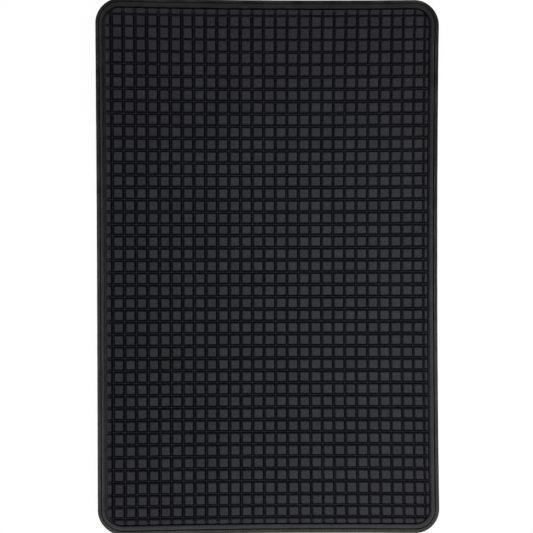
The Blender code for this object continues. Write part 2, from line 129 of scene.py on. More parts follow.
def edge_line():
    """Points of the mat's outer edge with their outward directions, anticlockwise from the right side."""
    line = []
    reach_x = tray_high.x - CORNER_RADIUS
    reach_y = tray_high.y - CORNER_RADIUS
    for quarter, (side_x, side_y) in enumerate(CORNERS):
        centre = Vector((side_x * reach_x, side_y * reach_y))
        for step in range(CORNER_STEPS + 1):
            angle = math.pi / 2 * (quarter + step / CORNER_STEPS)
            outward = Vector((math.cos(angle), math.sin(angle)))
            line.append((centre + CORNER_RADIUS * outward, outward))
        next_x, next_y = CORNERS[(quarter + 1) % len(CORNERS)]
        start = line[-1][0]
        end = Vector((next_x * reach_x, next_y * reach_y)) + CORNER_RADIUS * outward
        steps = round((end - start).length / SIDE_STEP)
        line += [(start.lerp(end, step / steps), outward) for step in range(1, steps)]
    return line


def trim_wander(point):
    """How far the hand-trimmed edge lies inside the moulded one at a point."""
    place = Vector((point.x, point.y, 0.0))
    parts = [share * noise.noise(place * wave) for wave, share in zip(TRIM_WAVES, TRIM_SHARES)]
    return TRIM_WANDER * (0.5 + 0.5 * sum(parts))


def arc(x, y, radius, start, sweep, steps=FILLET_STEPS):
    """Points on an arc about a centre, its two ends included. Angles are in quarter turns."""
    angles = [math.pi / 2 * (start + sweep * step / steps) for step in range(steps + 1)]
    return [(x + radius * math.cos(angle), y + radius * math.sin(angle)) for angle in angles]


def by_side(outward, right, rear, left, front):
    """One of four values, by the side of the mat that a direction points to. They blend round the corners.

    Values by side are always given in this order: right, rear, left, front."""
    across = right if outward.x > 0 else left
    along = rear if outward.y > 0 else front
    return across * outward.x**2 + along * outward.y**2


def ring(bm, inset, height, shift=(0.0, 0.0, 0.0, 0.0), wander=0.0, soft=1.0):
    """One loop of vertices round the mat. A hidden edge with soft 0 keeps the straight outline."""
    loop = []
    for point, outward in edge_line():
        x, y = point - outward * (inset + by_side(outward, *shift) + wander * trim_wander(point))
        soft_x, soft_y = drawn_in(x, y)
        loop.append(bm.verts.new((x + soft * (soft_x - x), y + soft * (soft_y - y), height)))
    return loop


def skin(bm, loops):
    """Joins each loop of vertices to the next."""
    for lower, upper in zip(loops, loops[1:]):
        for index in range(len(lower)):
            bm.faces.new((lower[index - 1], lower[index], upper[index], upper[index - 1]))


def capped_skin(bm, loops):
    """Joins each loop of vertices to the next and closes the first and the last."""
    skin(bm, loops)
    bm.faces.new(loops[0])
    bm.faces.new(loops[-1])


def mark(loop, layer, share, sides):
    """Gives a loop of vertices a share of a painted mark, by the side of the mat, such as painted shade in a
    seam.
    """
    for vert, (_, outward) in zip(loop, edge_line()):
        vert[layer] = share * by_side(outward, *sides)


def piece_of(name, bm, material):
    """Makes a modelled mesh a piece in the scene, with its faces turned out and round edges shaded smooth."""
    bmesh.ops.recalc_face_normals(bm, faces=bm.faces)
    mesh = bpy.data.meshes.new(name)
    bm.to_mesh(mesh)
    bm.free()
    mesh.shade_smooth()
    mesh.set_sharp_from_angle(angle=SMOOTH_ANGLE)
    mesh.materials.append(material)
    piece = bpy.data.objects.new(name, mesh)
    bpy.context.scene.collection.objects.link(piece)
    return piece


def settle(piece):
    """Turns a piece's modifiers into a plain mesh."""
    evaluated = piece.evaluated_get(bpy.context.evaluated_depsgraph_get())
    piece.data = bpy.data.meshes.new_from_object(evaluated)
    piece.modifiers.clear()


def seat(piece, slot, *nodes):
    """Puts a finished piece on the mat, in the place of its solids."""
    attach(piece, "root")
    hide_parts(*nodes)


class Shade:
    """A value in a material's node tree. Arithmetic on it adds Math nodes."""

    def __init__(self, tree, socket=None):
        self.tree = tree
        self.socket = socket

    def node(self, kind, settings=None, sockets=None, output=0):
        """Adds any other node: its settings first, then its sockets' values or links."""
        made = self.tree.nodes.new(kind)
        for name, value in (settings or {}).items():
            setattr(made, name, value)
        for name, value in (sockets or {}).items():
            if isinstance(value, Shade):
                self.tree.links.new(value.socket, made.inputs[name])
            else:
                made.inputs[name].default_value = value
        return Shade(self.tree, made.outputs[output])

    def maths(self, operation, first, second=0.0):
        return self.node("ShaderNodeMath", {"operation": operation}, {0: first, 1: second})

    def __add__(self, other):
        return self.maths("ADD", self, other)

    def __sub__(self, other):
        return self.maths("SUBTRACT", self, other)

    def __rsub__(self, other):
        return self.maths("SUBTRACT", other, self)

    def __mul__(self, other):
        return self.maths("MULTIPLY", self, other)

    __radd__ = __add__
    __rmul__ = __mul__

    def between(self, low, high):
        """0 where the value is at low and 1 where it is at high, with a smooth step between."""
        settings = {"interpolation_type": "SMOOTHSTEP"}
        return self.node("ShaderNodeMapRange", settings, {"Value": self, "From Min": low, "From Max": high})

    def mixed(self, other, share):
        """This value with a share of another one."""
        return self * (1 - share) + other * share

    def noise(self, scale, detail):
        """Soft noise over these coordinates."""
        return self.node("ShaderNodeTexNoise", None, {"Vector": self, "Scale": scale, "Detail": detail})

    def blend(self, first, second):
        """The first colour where the value is 0, and the second where it is 1.

        A Mix node takes colours in its sockets 6 and 7 and gives one from its output 2."""
        first = first if isinstance(first, Shade) else (*first, 1.0)
        second = second if isinstance(second, Shade) else (*second, 1.0)
        settings = {"data_type": "RGBA"}
        return self.node("ShaderNodeMix", settings, {"Factor": self, 6: first, 7: second}, output=2)

    def axis(self, index):
        """One of these coordinates: 0 across the mat, 1 along it and 2 up."""
        return self.node("ShaderNodeSeparateXYZ", None, {"Vector": self}, output=index)


class Finish:
    """A surface finish: a material, its shader and the place on the piece that its patterns follow."""

    def __init__(self, name, metallic=0.0, specular=0.5):
        self.material = bpy.data.materials.new(name)
        self.material.use_nodes = True
        self.shader = self.material.node_tree.nodes["Principled BSDF"]
        self.shader.inputs["Metallic"].default_value = metallic
        self.shader.inputs["Specular IOR Level"].default_value = specular
        self.start = Shade(self.material.node_tree)
        self.place = self.start.node("ShaderNodeTexCoord", output="Object")

    def painted(self, name):
        """A value that the piece's mesh carries under this name."""
        return self.start.node("ShaderNodeAttribute", {"attribute_name": name}, None, "Fac")

    def feed(self, socket, value):
        """Links a value that changes over the surface."""
        self.material.node_tree.links.new(value.socket, self.shader.inputs[socket])

    def roughen(self, value, first, second):
        """Gives the surface the first roughness where the value is 0, and the second where it is 1."""
        self.feed("Roughness", value * (second - first) + first)

    def bump(self, height, distance, strength=1.0):
        """Gives the surface a fine relief."""
        sockets = {"Height": height, "Distance": distance, "Strength": strength}
        self.feed("Normal", self.start.node("ShaderNodeBump", None, sockets))


def rubber(name, deep, pale, roughness, painted_front_light=0.0, painted_highlight=0.0):
    """Black rubber with a fine moulded grain. It pales in patches, and has painted light towards the front
    and at an edge.

    It is painted black in its seams, as painted shade."""
    finish = Finish(name, specular=RUBBER_GLOSS)
    specks = finish.place.noise(*RUBBER_SPECKS)
    patchy = finish.place.noise(*RUBBER_PATCHES).mixed(specks, RUBBER_SPECK_SHARE).between(*RUBBER_BLOOM)
    # Painted light: paler towards the front, where more light falls.
    frontward = finish.place.axis(1).between(tray_high.y, tray_low.y)
    # Painted highlight: an edge that the mesh marks is painted paler, where it catches the light.
    edge = finish.painted("outer_edge_highlight")
    # The bloom mixes real paling in patches with painted light to the front and a painted highlight at the
    # edge.
    bloom = patchy * (1 - painted_front_light - painted_highlight) + frontward * painted_front_light + edge * painted_highlight
    # Painted shade: the seams are painted black, most at their foot.
    unshaded = 1 - finish.painted("painted_seam_shade")
    finish.feed("Base Color", (bloom * unshaded).blend(deep, pale))
    finish.roughen(bloom, roughness - RUBBER_DULLING, roughness + RUBBER_DULLING)
    finish.bump(finish.place.noise(*MOULD_GRAIN), MOULD_GRAIN_DEPTH)
    return finish


tray_rubber = rubber("tray_rubber", TRAY_DEEP, TRAY_PALE, TRAY_ROUGHNESS, painted_front_light=TRAY_FRONT_PAINTED_LIGHT)
tray_mesh = bmesh.new()
tray_shade_layer = tray_mesh.verts.layers.float.new("painted_seam_shade")
outer_top = tray_high.z - WALL_TOP_FILLET
seam_top = tray_high.z - WALL_SEAM_FILLET
seam_inset = WALL_THICKNESS - WALL_SEAM_FILLET
underside_arc = arc(UNDERSIDE_FILLET, UNDERSIDE_FILLET, UNDERSIDE_FILLET, 3, -1)
wall_arc = arc(WALL_TOP_FILLET, outer_top, WALL_TOP_FILLET, 2, -1)
seam_arc = arc(seam_inset, seam_top, WALL_SEAM_FILLET, 1, -1)
outside_profile = [
    (UNDERSIDE_FILLET + FLAT_MARGIN, 0.0, WALL_SPREAD, 0.0),
    *[(*point, WALL_SPREAD, 0.0) for point in underside_arc],
    *[(*point, WALL_SPREAD, 1.0) for point in wall_arc],
]
seam_profile = [
    *[(*point, SEAM_SHIFT, 0.0) for point in seam_arc],
    (WALL_THICKNESS, floor_top, SEAM_SHIFT, 0.0),
    (WALL_THICKNESS + FLAT_MARGIN, floor_top, SEAM_SHIFT, 0.0),
]
outside_loops = [ring(tray_mesh, *point) for point in outside_profile]
seam_loops = [ring(tray_mesh, *point) for point in seam_profile]
# The seam inside the wall is painted darker with depth, as painted shade.
for step, loop in enumerate(seam_loops):
    mark(loop, tray_shade_layer, min(step / FILLET_STEPS, 1.0), WALL_SEAM_SHADE)
capped_skin(tray_mesh, outside_loops + seam_loops)
tray = piece_of("tray", tray_mesh, tray_rubber.material)

# Cord grommet. A moulded rubber sleeve stands in the rear wall for a flat three-core cord. Its flange sits
# in a stepped notch in the rim, which holds it when the rim is pressed down.
grommet_low, grommet_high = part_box("cord_grommet")
GROMMET_WIDTH = 0.0124
GROMMET_HEIGHT = 0.0064
GROMMET_WALL = 0.001
GROMMET_LIP = 0.0067
GROMMET_MOUTH = 0.0004
GROMMET_CORNER_STEPS = 6
GROMMET_ROUGHNESS = 0.5
MERGE_DISTANCE = 1e-7
GROMMET_DEEP = (0.014, 0.014, 0.0145)
GROMMET_PALE = (0.022, 0.022, 0.0225)
grommet_height = (grommet_low.z + grommet_high.z) / 2
grommet_rear = drawn_in(0.0, tray_high.y)[1]


def rounded_points(width, height, radius, steps):
    """Points of a rectangle with rounded corners about its centre, anticlockwise."""
    points = []
    for quarter, (side_x, side_y) in enumerate(CORNERS):
        centre_x = side_x * (width / 2 - radius)
        centre_y = side_y * (height / 2 - radius)
        points += arc(centre_x, centre_y, radius, quarter, 1, steps)
    return points


def oval(bm, width, height, radius, depth):
    """A loop of vertices with rounded corners, upright in the rear wall at a depth from its face."""
    points = rounded_points(width, height, radius, GROMMET_CORNER_STEPS)
    return [bm.verts.new((x, grommet_rear - depth, grommet_height + z)) for x, z in points]


def cut_out(piece, loops_mesh):
    """Cuts a closed shape out of a piece."""
    cutter = piece_of("cutter", loops_mesh, piece.data.materials[0])
    boolean = piece.modifiers.new("opening", "BOOLEAN")
    boolean.operation = "DIFFERENCE"
    boolean.solver = "EXACT"
    boolean.object = cutter
    settle(piece)
    bpy.data.objects.remove(cutter, do_unlink=True)


def oval_plug(width, height, radius, front, back):
    """A closed oval plug through the rear wall, between two depths."""
    bm = bmesh.new()
    capped_skin(bm, [oval(bm, width, height, radius, depth) for depth in (front, back)])
    return bm


grommet_rubber = rubber("grommet_rubber", GROMMET_DEEP, GROMMET_PALE, GROMMET_ROUGHNESS)
grommet_mesh = bmesh.new()
slot_width = GROMMET_WIDTH - 2 * GROMMET_WALL
slot_height = GROMMET_HEIGHT - 2 * GROMMET_WALL
flange_width = grommet_high.x - grommet_low.x
flange_height = grommet_high.z - grommet_low.z
flange_depth = tray_high.y - grommet_low.y
mouth_width = slot_width + 2 * GROMMET_MOUTH
mouth_height = slot_height + 2 * GROMMET_MOUTH
grommet_sections = [
    (slot_width, slot_height, flange_depth),
    (slot_width, slot_height, GROMMET_MOUTH),
    (mouth_width, mouth_height, 0.0),
    (GROMMET_WIDTH - GROMMET_MOUTH, GROMMET_HEIGHT - GROMMET_MOUTH, 0.0),
    (GROMMET_WIDTH, GROMMET_HEIGHT, GROMMET_MOUTH / 2),
    (GROMMET_WIDTH, GROMMET_HEIGHT, GROMMET_LIP),
    (flange_width, flange_height, GROMMET_LIP),
    (flange_width, flange_height, flange_depth),
    (slot_width, slot_height, flange_depth),
]
grommet_loops = []
for width, height, depth in grommet_sections:
    grommet_loops.append(oval(grommet_mesh, width, height, GROMMET_WALL, depth))
skin(grommet_mesh, grommet_loops)
bmesh.ops.remove_doubles(grommet_mesh, verts=grommet_mesh.verts, dist=MERGE_DISTANCE)
grommet = piece_of("grommet", grommet_mesh, grommet_rubber.material)
seat(grommet, "grommet_rubber", "cord_grommet")

hole_width = GROMMET_WIDTH + 2 * FIT_GAP
hole_height = GROMMET_HEIGHT + 2 * FIT_GAP
hole_radius = GROMMET_WALL + FIT_GAP
hole_reach = WALL_THICKNESS + FIT_GAP / 2
cut_out(tray, oval_plug(hole_width, hole_height, hole_radius, -hole_reach, hole_reach))
seat(tray, "tray_rubber", "base_tray")

# Insulation pad and terminal bed. Two die-cut pieces of closed-cell foam lie loose on the tray's floor. The
# pad turns the heat upwards, and the bed carries the joints in the pad's notch.
bed_low, bed_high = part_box("terminal_bed")
FOAM_EDGE = 0.0003
CUT_EDGE_STEPS = 3
POCKET_MARGIN = 0.0015
LAYER_CORNER_STEPS = 8
FOAM_PALE = (0.58, 0.57, 0.53)
FOAM_DEEP = (0.40, 0.39, 0.36)
FOAM_GLOSS = 0.3
FOAM_CELL_SCALE = 1100.0
FOAM_CELL_WALL = (0.1, 0.7)
FOAM_PATCHES = (40.0, 3.0)
FOAM_PATCH_SHARE = 0.4
FOAM_TONE = (0.15, 0.75)
FOAM_ROUGHNESS = (0.82, 0.97)
FOAM_CELL_DEPTH = 0.0002
FOAM_CELL_STRENGTH = 0.6
layer_radius = CORNER_RADIUS - (tray_high.x - pad_high.x)
pocket_half = bed_high.x + POCKET_MARGIN
pocket_front = bed_low.y - FIT_GAP


def layer_outline():
    """Plan of a layer of the element: it fills the rim's opening, with a notch for the joints at the rear."""
    outline = rounded_points(2 * pad_high.x, 2 * pad_high.y, layer_radius, LAYER_CORNER_STEPS)
    notch = [
        (pocket_half, pad_high.y),
        (pocket_half, pocket_front),
        (-pocket_half, pocket_front),
        (-pocket_half, pad_high.y),
    ]
    rear_right = LAYER_CORNER_STEPS + 1
    return outline[:rear_right] + notch + outline[rear_right:]


def round_edges(piece, width, steps):
    """Rounds the sharp edges of a piece."""
    bevel = piece.modifiers.new("edge", "BEVEL")
    bevel.width = width
    bevel.segments = steps
    bevel.limit_method = "ANGLE"
    bevel.angle_limit = SMOOTH_ANGLE
    settle(piece)


def cut_piece(name, outline, bottom, top, edge, material):
    """A flat piece cut to an outline, with its edges slightly rounded."""
    bm = bmesh.new()
    capped_skin(bm, [[bm.verts.new((x, y, height)) for x, y in outline] for height in (bottom, top)])
    piece = piece_of(name, bm, material)
    round_edges(piece, edge, CUT_EDGE_STEPS)
    return piece


foam = Finish("foam", specular=FOAM_GLOSS)
cell_sockets = {"Vector": foam.place, "Scale": FOAM_CELL_SCALE}
cells = foam.start.node("ShaderNodeTexVoronoi", {"feature": "F1"}, cell_sockets, "Distance")
foam_tone = cells.between(*FOAM_CELL_WALL).mixed(foam.place.noise(*FOAM_PATCHES), FOAM_PATCH_SHARE)
foam.feed("Base Color", foam_tone.between(*FOAM_TONE).blend(FOAM_PALE, FOAM_DEEP))
foam.roughen(foam_tone, *FOAM_ROUGHNESS)
foam.bump(cells, FOAM_CELL_DEPTH, FOAM_CELL_STRENGTH)
pad = cut_piece("pad", layer_outline(), pad_low.z, pad_high.z, FOAM_EDGE, foam.material)
seat(pad, "foam", "insulation_pad")
bed_x = bed_high.x - bed_low.x
bed_y = bed_high.y - bed_low.y
bed_middle = (bed_low.y + bed_high.y) / 2
bed_points = rounded_points(bed_x, bed_y, POCKET_MARGIN, FILLET_STEPS)
bed_outline = [(x, y + bed_middle) for x, y in bed_points]
bed = cut_piece("bed", bed_outline, bed_low.z, bed_high.z, FOAM_EDGE, foam.material)
seat(bed, "foam", "terminal_bed")

# Wire carrier. A sheet of plain-woven glass cloth lies on the pad, and the wire is laid out on it. It is cut
# to the same outline, and its varnish keeps the threads from fraying.
carrier_low, carrier_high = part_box("wire_carrier")
CARRIER_EDGE = 0.00008
CARRIER_THREAD = 0.0012
SCRIM_PALE = (0.76, 0.75, 0.69)
SCRIM_DEEP = (0.44, 0.43, 0.38)
WEAVE_CROSSING = (-0.25, 0.25)
WEAVE_FUZZ = (300.0, 3.0)
WEAVE_FUZZ_SHARE = 0.25
WEAVE_TONE = (0.05, 0.8)
WEAVE_ROUGHNESS = (0.82, 0.62)
WEAVE_RELIEF = 0.2


def woven(name, pale, deep, thread):
    """Glass cloth in plain weave: threads along and across take turns on top."""
    finish = Finish(name)
    turns = math.pi / thread
    across = finish.start.maths("SINE", finish.place.axis(0) * turns)
    along = finish.start.maths("SINE", finish.place.axis(1) * turns)
    on_top = (across * along).between(*WEAVE_CROSSING)
    across_round = finish.start.maths("ABSOLUTE", across)
    along_round = finish.start.maths("ABSOLUTE", along)
    height = on_top * across_round + (1 - on_top) * along_round
    tone = height.mixed(finish.place.noise(*WEAVE_FUZZ), WEAVE_FUZZ_SHARE)
    finish.feed("Base Color", tone.between(*WEAVE_TONE).blend(deep, pale))
    finish.roughen(tone, *WEAVE_ROUGHNESS)
    finish.bump(height, thread * WEAVE_RELIEF)
    return finish


glass_scrim = woven("glass_scrim", SCRIM_PALE, SCRIM_DEEP, CARRIER_THREAD)
carrier = cut_piece(
    "carrier", layer_outline(), carrier_low.z, carrier_high.z, CARRIER_EDGE, glass_scrim.material
)
seat(carrier, "glass_scrim", "wire_carrier")

# Heating wire. One length of resistance wire in a red silicone jacket is laid in parallel passes, each turned
# back in a half circle. Its two ends run along the rear to the joints beside the notch.
crimp_low, crimp_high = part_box("neutral_element_crimp")
WIRE_DIAMETER = 0.0018
WIRE_PASSES = 12
WIRE_SIDE_MARGIN = 0.019
WIRE_FRONT_MARGIN = 0.012
WIRE_CORNER = 0.008
RUN_INSET = 0.006
RUN_SPACING = 0.009
COLD_STRIP = 0.02
TURN_STEPS = 16
TUBE_ROUNDNESS = 4
WIRE_RED = (0.5, 0.06, 0.03)
WIRE_DULL = (0.36, 0.045, 0.028)
JACKET_GLOSS = 0.4
JACKET_PATCHES = (250.0, 4.0)
JACKET_SPECKS = (2500.0, 2.0)
JACKET_SPECK_SHARE = 0.4
JACKET_BLOOM = (0.35, 0.65)
JACKET_ROUGHNESS = (0.36, 0.61)
JACKET_PITS = (5000.0, 3.0)
JACKET_PIT_DEPTH = 0.00003
wire_height = (crimp_low.z + crimp_high.z) / 2
run_y = pad_high.y + FIT_GAP - RUN_INSET
outer_pass = pad_high.x + FIT_GAP - WIRE_SIDE_MARGIN
pass_pitch = 2 * outer_pass / (WIRE_PASSES - 1)


def mirrored(route):
    """The same route on the other side of the mat."""
    return [(-x, y) for x, y in route]


def wire_route():
    """Plan points of the wire, from its line end to its neutral end."""
    turn = pass_pitch / 2
    front_turn = WIRE_FRONT_MARGIN - pad_high.y - FIT_GAP + turn
    wire_end = crimp_high.x + FIT_GAP
    bend = arc(WIRE_CORNER - outer_pass, run_y - WIRE_CORNER, WIRE_CORNER, 1, 1, TURN_STEPS // 2)
    start = [(-wire_end, run_y), *bend]
    route = list(start)
    for index in range(WIRE_PASSES - 1):
        middle = -outer_pass + (index + 0.5) * pass_pitch
        if index % 2 == 0:
            route += arc(middle, front_turn, turn, 2, 2, TURN_STEPS)
        else:
            beside_pocket = abs(middle) - turn - WIRE_DIAMETER / 2 > pocket_half
            rear_end = run_y - RUN_SPACING if beside_pocket else pocket_front - COLD_STRIP
            route += arc(middle, rear_end - turn, turn, 2, -2, TURN_STEPS)
    return route + mirrored(start)[::-1]


def tube(name, route, diameter, material):
    """A round wire through plan points, at the wire's height."""
    curve = bpy.data.curves.new(name, "CURVE")
    curve.dimensions = "3D"
    curve.bevel_depth = diameter / 2
    curve.bevel_resolution = TUBE_ROUNDNESS
    curve.use_fill_caps = True
    spline = curve.splines.new("POLY")
    spline.points.add(len(route) - 1)
    for point, (x, y) in zip(spline.points, route):
        point.co = (x, y, wire_height, 1.0)
    line = bpy.data.objects.new(name, curve)
    bpy.context.scene.collection.objects.link(line)
    evaluated = line.evaluated_get(bpy.context.evaluated_depsgraph_get())
    bm = bmesh.new()
    bm.from_mesh(bpy.data.meshes.new_from_object(evaluated))
    bpy.data.objects.remove(line, do_unlink=True)
    return piece_of(name, bm, material)


def jacket(name, pale, dull):
    """Silicone rubber: satin, with a faint dusty bloom and fine pits."""
    finish = Finish(name, specular=JACKET_GLOSS)
    specks = finish.place.noise(*JACKET_SPECKS)
    bloom = finish.place.noise(*JACKET_PATCHES).mixed(specks, JACKET_SPECK_SHARE)
    finish.feed("Base Color", bloom.between(*JACKET_BLOOM).blend(pale, dull))
    finish.roughen(bloom, *JACKET_ROUGHNESS)
    finish.bump(finish.place.noise(*JACKET_PITS), JACKET_PIT_DEPTH)
    return finish


wire_jacket = jacket("wire_jacket", WIRE_RED, WIRE_DULL)
wire = tube("wire", wire_route(), WIRE_DIAMETER, wire_jacket.material)
seat(wire, "wire_jacket", "heating_wire")

# Joints. At each end of the wire a brass barrel is crimped over wire and lead, and a heat-shrink sleeve is
# shrunk over the barrel. Three longer barrels stand open towards the gland.
cord_crimp_low, cord_crimp_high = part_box("neutral_cord_crimp")
LEAD_DIAMETER = 0.0022
LEAD_INSERT = 0.005
BARREL_STEPS = 24
CRIMP_SQUEEZE = 0.82
CRIMP_SPREAD = 1.08
CRIMP_CHAMFER = 0.00015
CRIMP_BAND = 0.8
CRIMP_BAND_FLAT = 0.4
CRIMP_PINCHES = (0.27, 0.73)
CORD_CRIMP_WALL = 0.0003
CORD_CRIMP_FLARE = 0.00012
CRIMP_FLARE_LENGTH = 0.0006
SLEEVE_OVERLAP = 0.003
SLEEVE_WALL = 0.0005
SLEEVE_SHRINK = 0.0003
BRASS_BRIGHT = (0.78, 0.62, 0.31)
BRASS_DULL = (0.46, 0.34, 0.16)
SLEEVE_BLACK = (0.012, 0.012, 0.012)
SLEEVE_GREY = (0.024, 0.024, 0.024)
BRASS_STAINS = (400.0, 4.0)
BRASS_TARNISH = (0.35, 0.7)
BRASS_ROUGHNESS = (0.28, 0.53)
BRASS_SCRATCHES = (3500.0, 3.0)
BRASS_SCRATCH_DEPTH = 0.00002


def barrel_ring(bm, axis, centre, along, radius, squeeze=1.0, spread=1.0):
    """A loop of vertices round a barrel that lies along the mat or across it."""
    loop = []
    for step in range(BARREL_STEPS):
        angle = 2 * math.pi * step / BARREL_STEPS
        side = radius * spread * math.cos(angle)
        height = wire_height + radius * squeeze * math.sin(angle)
        place = (along, centre + side, height) if axis == "x" else (centre + side, along, height)
        loop.append(bm.verts.new(place))
    return loop


def crimped_barrel(name, axis, centre, start, end, radius, bore, pinches, flare, material):
    """A brass barrel squeezed flat in short bands. It is open at both ends where it has a bore."""
    bm = bmesh.new()
    band = radius * CRIMP_BAND
    flat = band * CRIMP_BAND_FLAT
    outside = [(start, radius - CRIMP_CHAMFER, 1.0), (start + CRIMP_CHAMFER, radius, 1.0)]
    for pinch in pinches:
        outside += [(pinch - band, radius, 1.0), (pinch - flat, radius, CRIMP_SQUEEZE)]
        outside += [(pinch + flat, radius, CRIMP_SQUEEZE), (pinch + band, radius, 1.0)]
    outside += [(end - CRIMP_FLARE_LENGTH, radius, 1.0), (end, radius + flare, 1.0)]
    inside = [(along, bore, squeeze) for along, _, squeeze in outside]
    stations = outside + (inside[::-1] if bore else [])
    loops = []
    for along, size, squeeze in stations:
        spread = CRIMP_SPREAD if squeeze < 1 else 1.0
        loops.append(barrel_ring(bm, axis, centre, along, size, squeeze, spread))
    if bore:
        skin(bm, [*loops, loops[0]])
    else:
        capped_skin(bm, loops)
    return piece_of(name, bm, material)


brass = Finish("crimp_brass", metallic=1.0)
tarnish = brass.place.noise(*BRASS_STAINS).between(*BRASS_TARNISH)
brass.feed("Base Color", tarnish.blend(BRASS_BRIGHT, BRASS_DULL))
brass.roughen(tarnish, *BRASS_ROUGHNESS)
brass.bump(brass.place.noise(*BRASS_SCRATCHES), BRASS_SCRATCH_DEPTH)

sleeve_finish = jacket("shrink_sleeve", SLEEVE_BLACK, SLEEVE_GREY)
crimp_length = crimp_high.x - crimp_low.x
crimp_radius = (crimp_high.z - crimp_low.z) / 2
sleeve_bore = crimp_radius + FIT_GAP
sleeve_shoulder = crimp_length / 2
sleeve_reach = sleeve_shoulder + SLEEVE_OVERLAP
sleeve_outside = sleeve_bore + SLEEVE_WALL
sleeve_profile = [
    (-sleeve_reach, sleeve_bore - SLEEVE_SHRINK),
    (-sleeve_reach, sleeve_outside - SLEEVE_SHRINK),
    (-sleeve_shoulder - SLEEVE_OVERLAP / 2, sleeve_outside - SLEEVE_SHRINK / 2),
    (-sleeve_shoulder, sleeve_outside),
    (sleeve_shoulder, sleeve_outside),
    (sleeve_shoulder + SLEEVE_OVERLAP / 2, sleeve_outside - SLEEVE_SHRINK / 2),
    (sleeve_reach, sleeve_outside - SLEEVE_SHRINK),
    (sleeve_reach, sleeve_bore - SLEEVE_SHRINK),
    (sleeve_shoulder, sleeve_bore),
    (-sleeve_shoulder, sleeve_bore),
]
for name, side in (("line", -1), ("neutral", 1)):
    middle = side * (crimp_low.x + crimp_high.x) / 2
    start = middle - crimp_length / 2
    pinches = [start + crimp_length * share for share in CRIMP_PINCHES]
    crimp_end = start + crimp_length
    crimp = crimped_barrel(
        f"{name}_crimp", "x", run_y, start, crimp_end, crimp_radius, 0.0, pinches, 0.0, brass.material
    )
    seat(crimp, "crimp_brass", f"{name}_element_crimp")
    sleeve_mesh = bmesh.new()
    sleeve_loops = []
    for along, radius in sleeve_profile:
        sleeve_loops.append(barrel_ring(sleeve_mesh, "x", run_y, middle + along, radius))
    skin(sleeve_mesh, [*sleeve_loops, sleeve_loops[0]])
    sleeve = piece_of(f"{name}_sleeve", sleeve_mesh, sleeve_finish.material)
    seat(sleeve, "shrink_sleeve", f"{name}_crimp_sleeve")

crimp_spacing = (cord_crimp_low.x + cord_crimp_high.x) / 2
cord_crimp_radius = (cord_crimp_high.x - cord_crimp_low.x) / 2
for name, x in (("line", -crimp_spacing), ("earth", 0.0), ("neutral", crimp_spacing)):
    cord_crimp = crimped_barrel(
        f"{name}_open_crimp",
        "y",
        x,
        cord_crimp_low.y,
        cord_crimp_high.y,
        cord_crimp_radius,
        cord_crimp_radius - CORD_CRIMP_WALL,
        [cord_crimp_low.y + LEAD_INSERT / 2],
        CORD_CRIMP_FLARE,
        brass.material,
    )
    seat(cord_crimp, "crimp_brass", f"{name}_cord_crimp")

# Limiter. A flat bimetal switch in a moulded case stands in the line side and opens if the mat runs too hot.
# Its lid is pressed in a step below the case's edge, and both ends are sealed with resin.
limiter_low, limiter_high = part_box("thermal_cutout")
CASE_RADIUS = 0.0009
CASE_FILLET = 0.0004
LID_MARGIN = 0.0009
LID_STEP = 0.0003
CASE_BLACK = (0.022, 0.022, 0.026)
CASE_GREY = (0.042, 0.042, 0.048)
CASE_GRAIN = (1800.0, 4.0)
CASE_GRAIN_RANGE = (0.3, 0.7)
CASE_GRAIN_DEPTH = 0.00004
CASE_ROUGHNESS = (0.42, 0.62)
limiter_x = -(limiter_low.x + limiter_high.x) / 2
limiter_y = (limiter_low.y + limiter_high.y) / 2
case_width = limiter_high.x - limiter_low.x
case_length = limiter_high.y - limiter_low.y
limiter_case = Finish("limiter_case")
case_grain = limiter_case.place.noise(*CASE_GRAIN).between(*CASE_GRAIN_RANGE)
limiter_case.feed("Base Color", case_grain.blend(CASE_BLACK, CASE_GREY))
limiter_case.roughen(case_grain, *CASE_ROUGHNESS)
limiter_case.bump(case_grain, CASE_GRAIN_DEPTH)
case_mesh = bmesh.new()
case_sections = [
    (CASE_FILLET, limiter_low.z),
    (0.0, limiter_low.z + CASE_FILLET),
    (0.0, limiter_high.z - CASE_FILLET),
    (CASE_FILLET, limiter_high.z),
    (LID_MARGIN, limiter_high.z),
    (LID_MARGIN, limiter_high.z - LID_STEP),
    (LID_MARGIN + LID_STEP, limiter_high.z - LID_STEP),
]
case_loops = []
for inset, height in case_sections:
    case_points = rounded_points(case_width - 2 * inset, case_length - 2 * inset, CASE_RADIUS, FILLET_STEPS)
    case_loops.append([case_mesh.verts.new((x - limiter_x, y + limiter_y, height)) for x, y in case_points])
capped_skin(case_mesh, case_loops)
limiter = piece_of("limiter", case_mesh, limiter_case.material)
seat(limiter, "limiter_case", "thermal_cutout")

# Leads. Cold leads in silicone jackets join the wire's two ends, the limiter and the earth tab to the open
# crimps. The line and the neutral lead each turn back once, so that a pull on the cord doesn't reach the
# joints.
earth_low, earth_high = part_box("earth_lead")
LEAD_BEND = 0.005
LEAD_STUB = 0.0012
LINE_BLACK = (0.017, 0.017, 0.019)
LINE_GREY = (0.032, 0.032, 0.034)
NEUTRAL_WHITE = (0.8, 0.8, 0.78)
NEUTRAL_GREY = (0.62, 0.62, 0.6)
EARTH_GREEN = (0.05, 0.3, 0.06)
EARTH_DULL = (0.04, 0.2, 0.05)
lead_turn = (limiter_x - crimp_spacing) / 2
lead_turn_y = limiter_low.y - FIT_GAP - LEAD_STUB
lead_end = (-crimp_spacing, cord_crimp_low.y + LEAD_INSERT)
lead_bend = arc(-limiter_x - LEAD_BEND, run_y - LEAD_BEND, LEAD_BEND, 1, -1, TURN_STEPS // 2)
from_joint = [(FIT_GAP - crimp_low.x, run_y), *lead_bend]
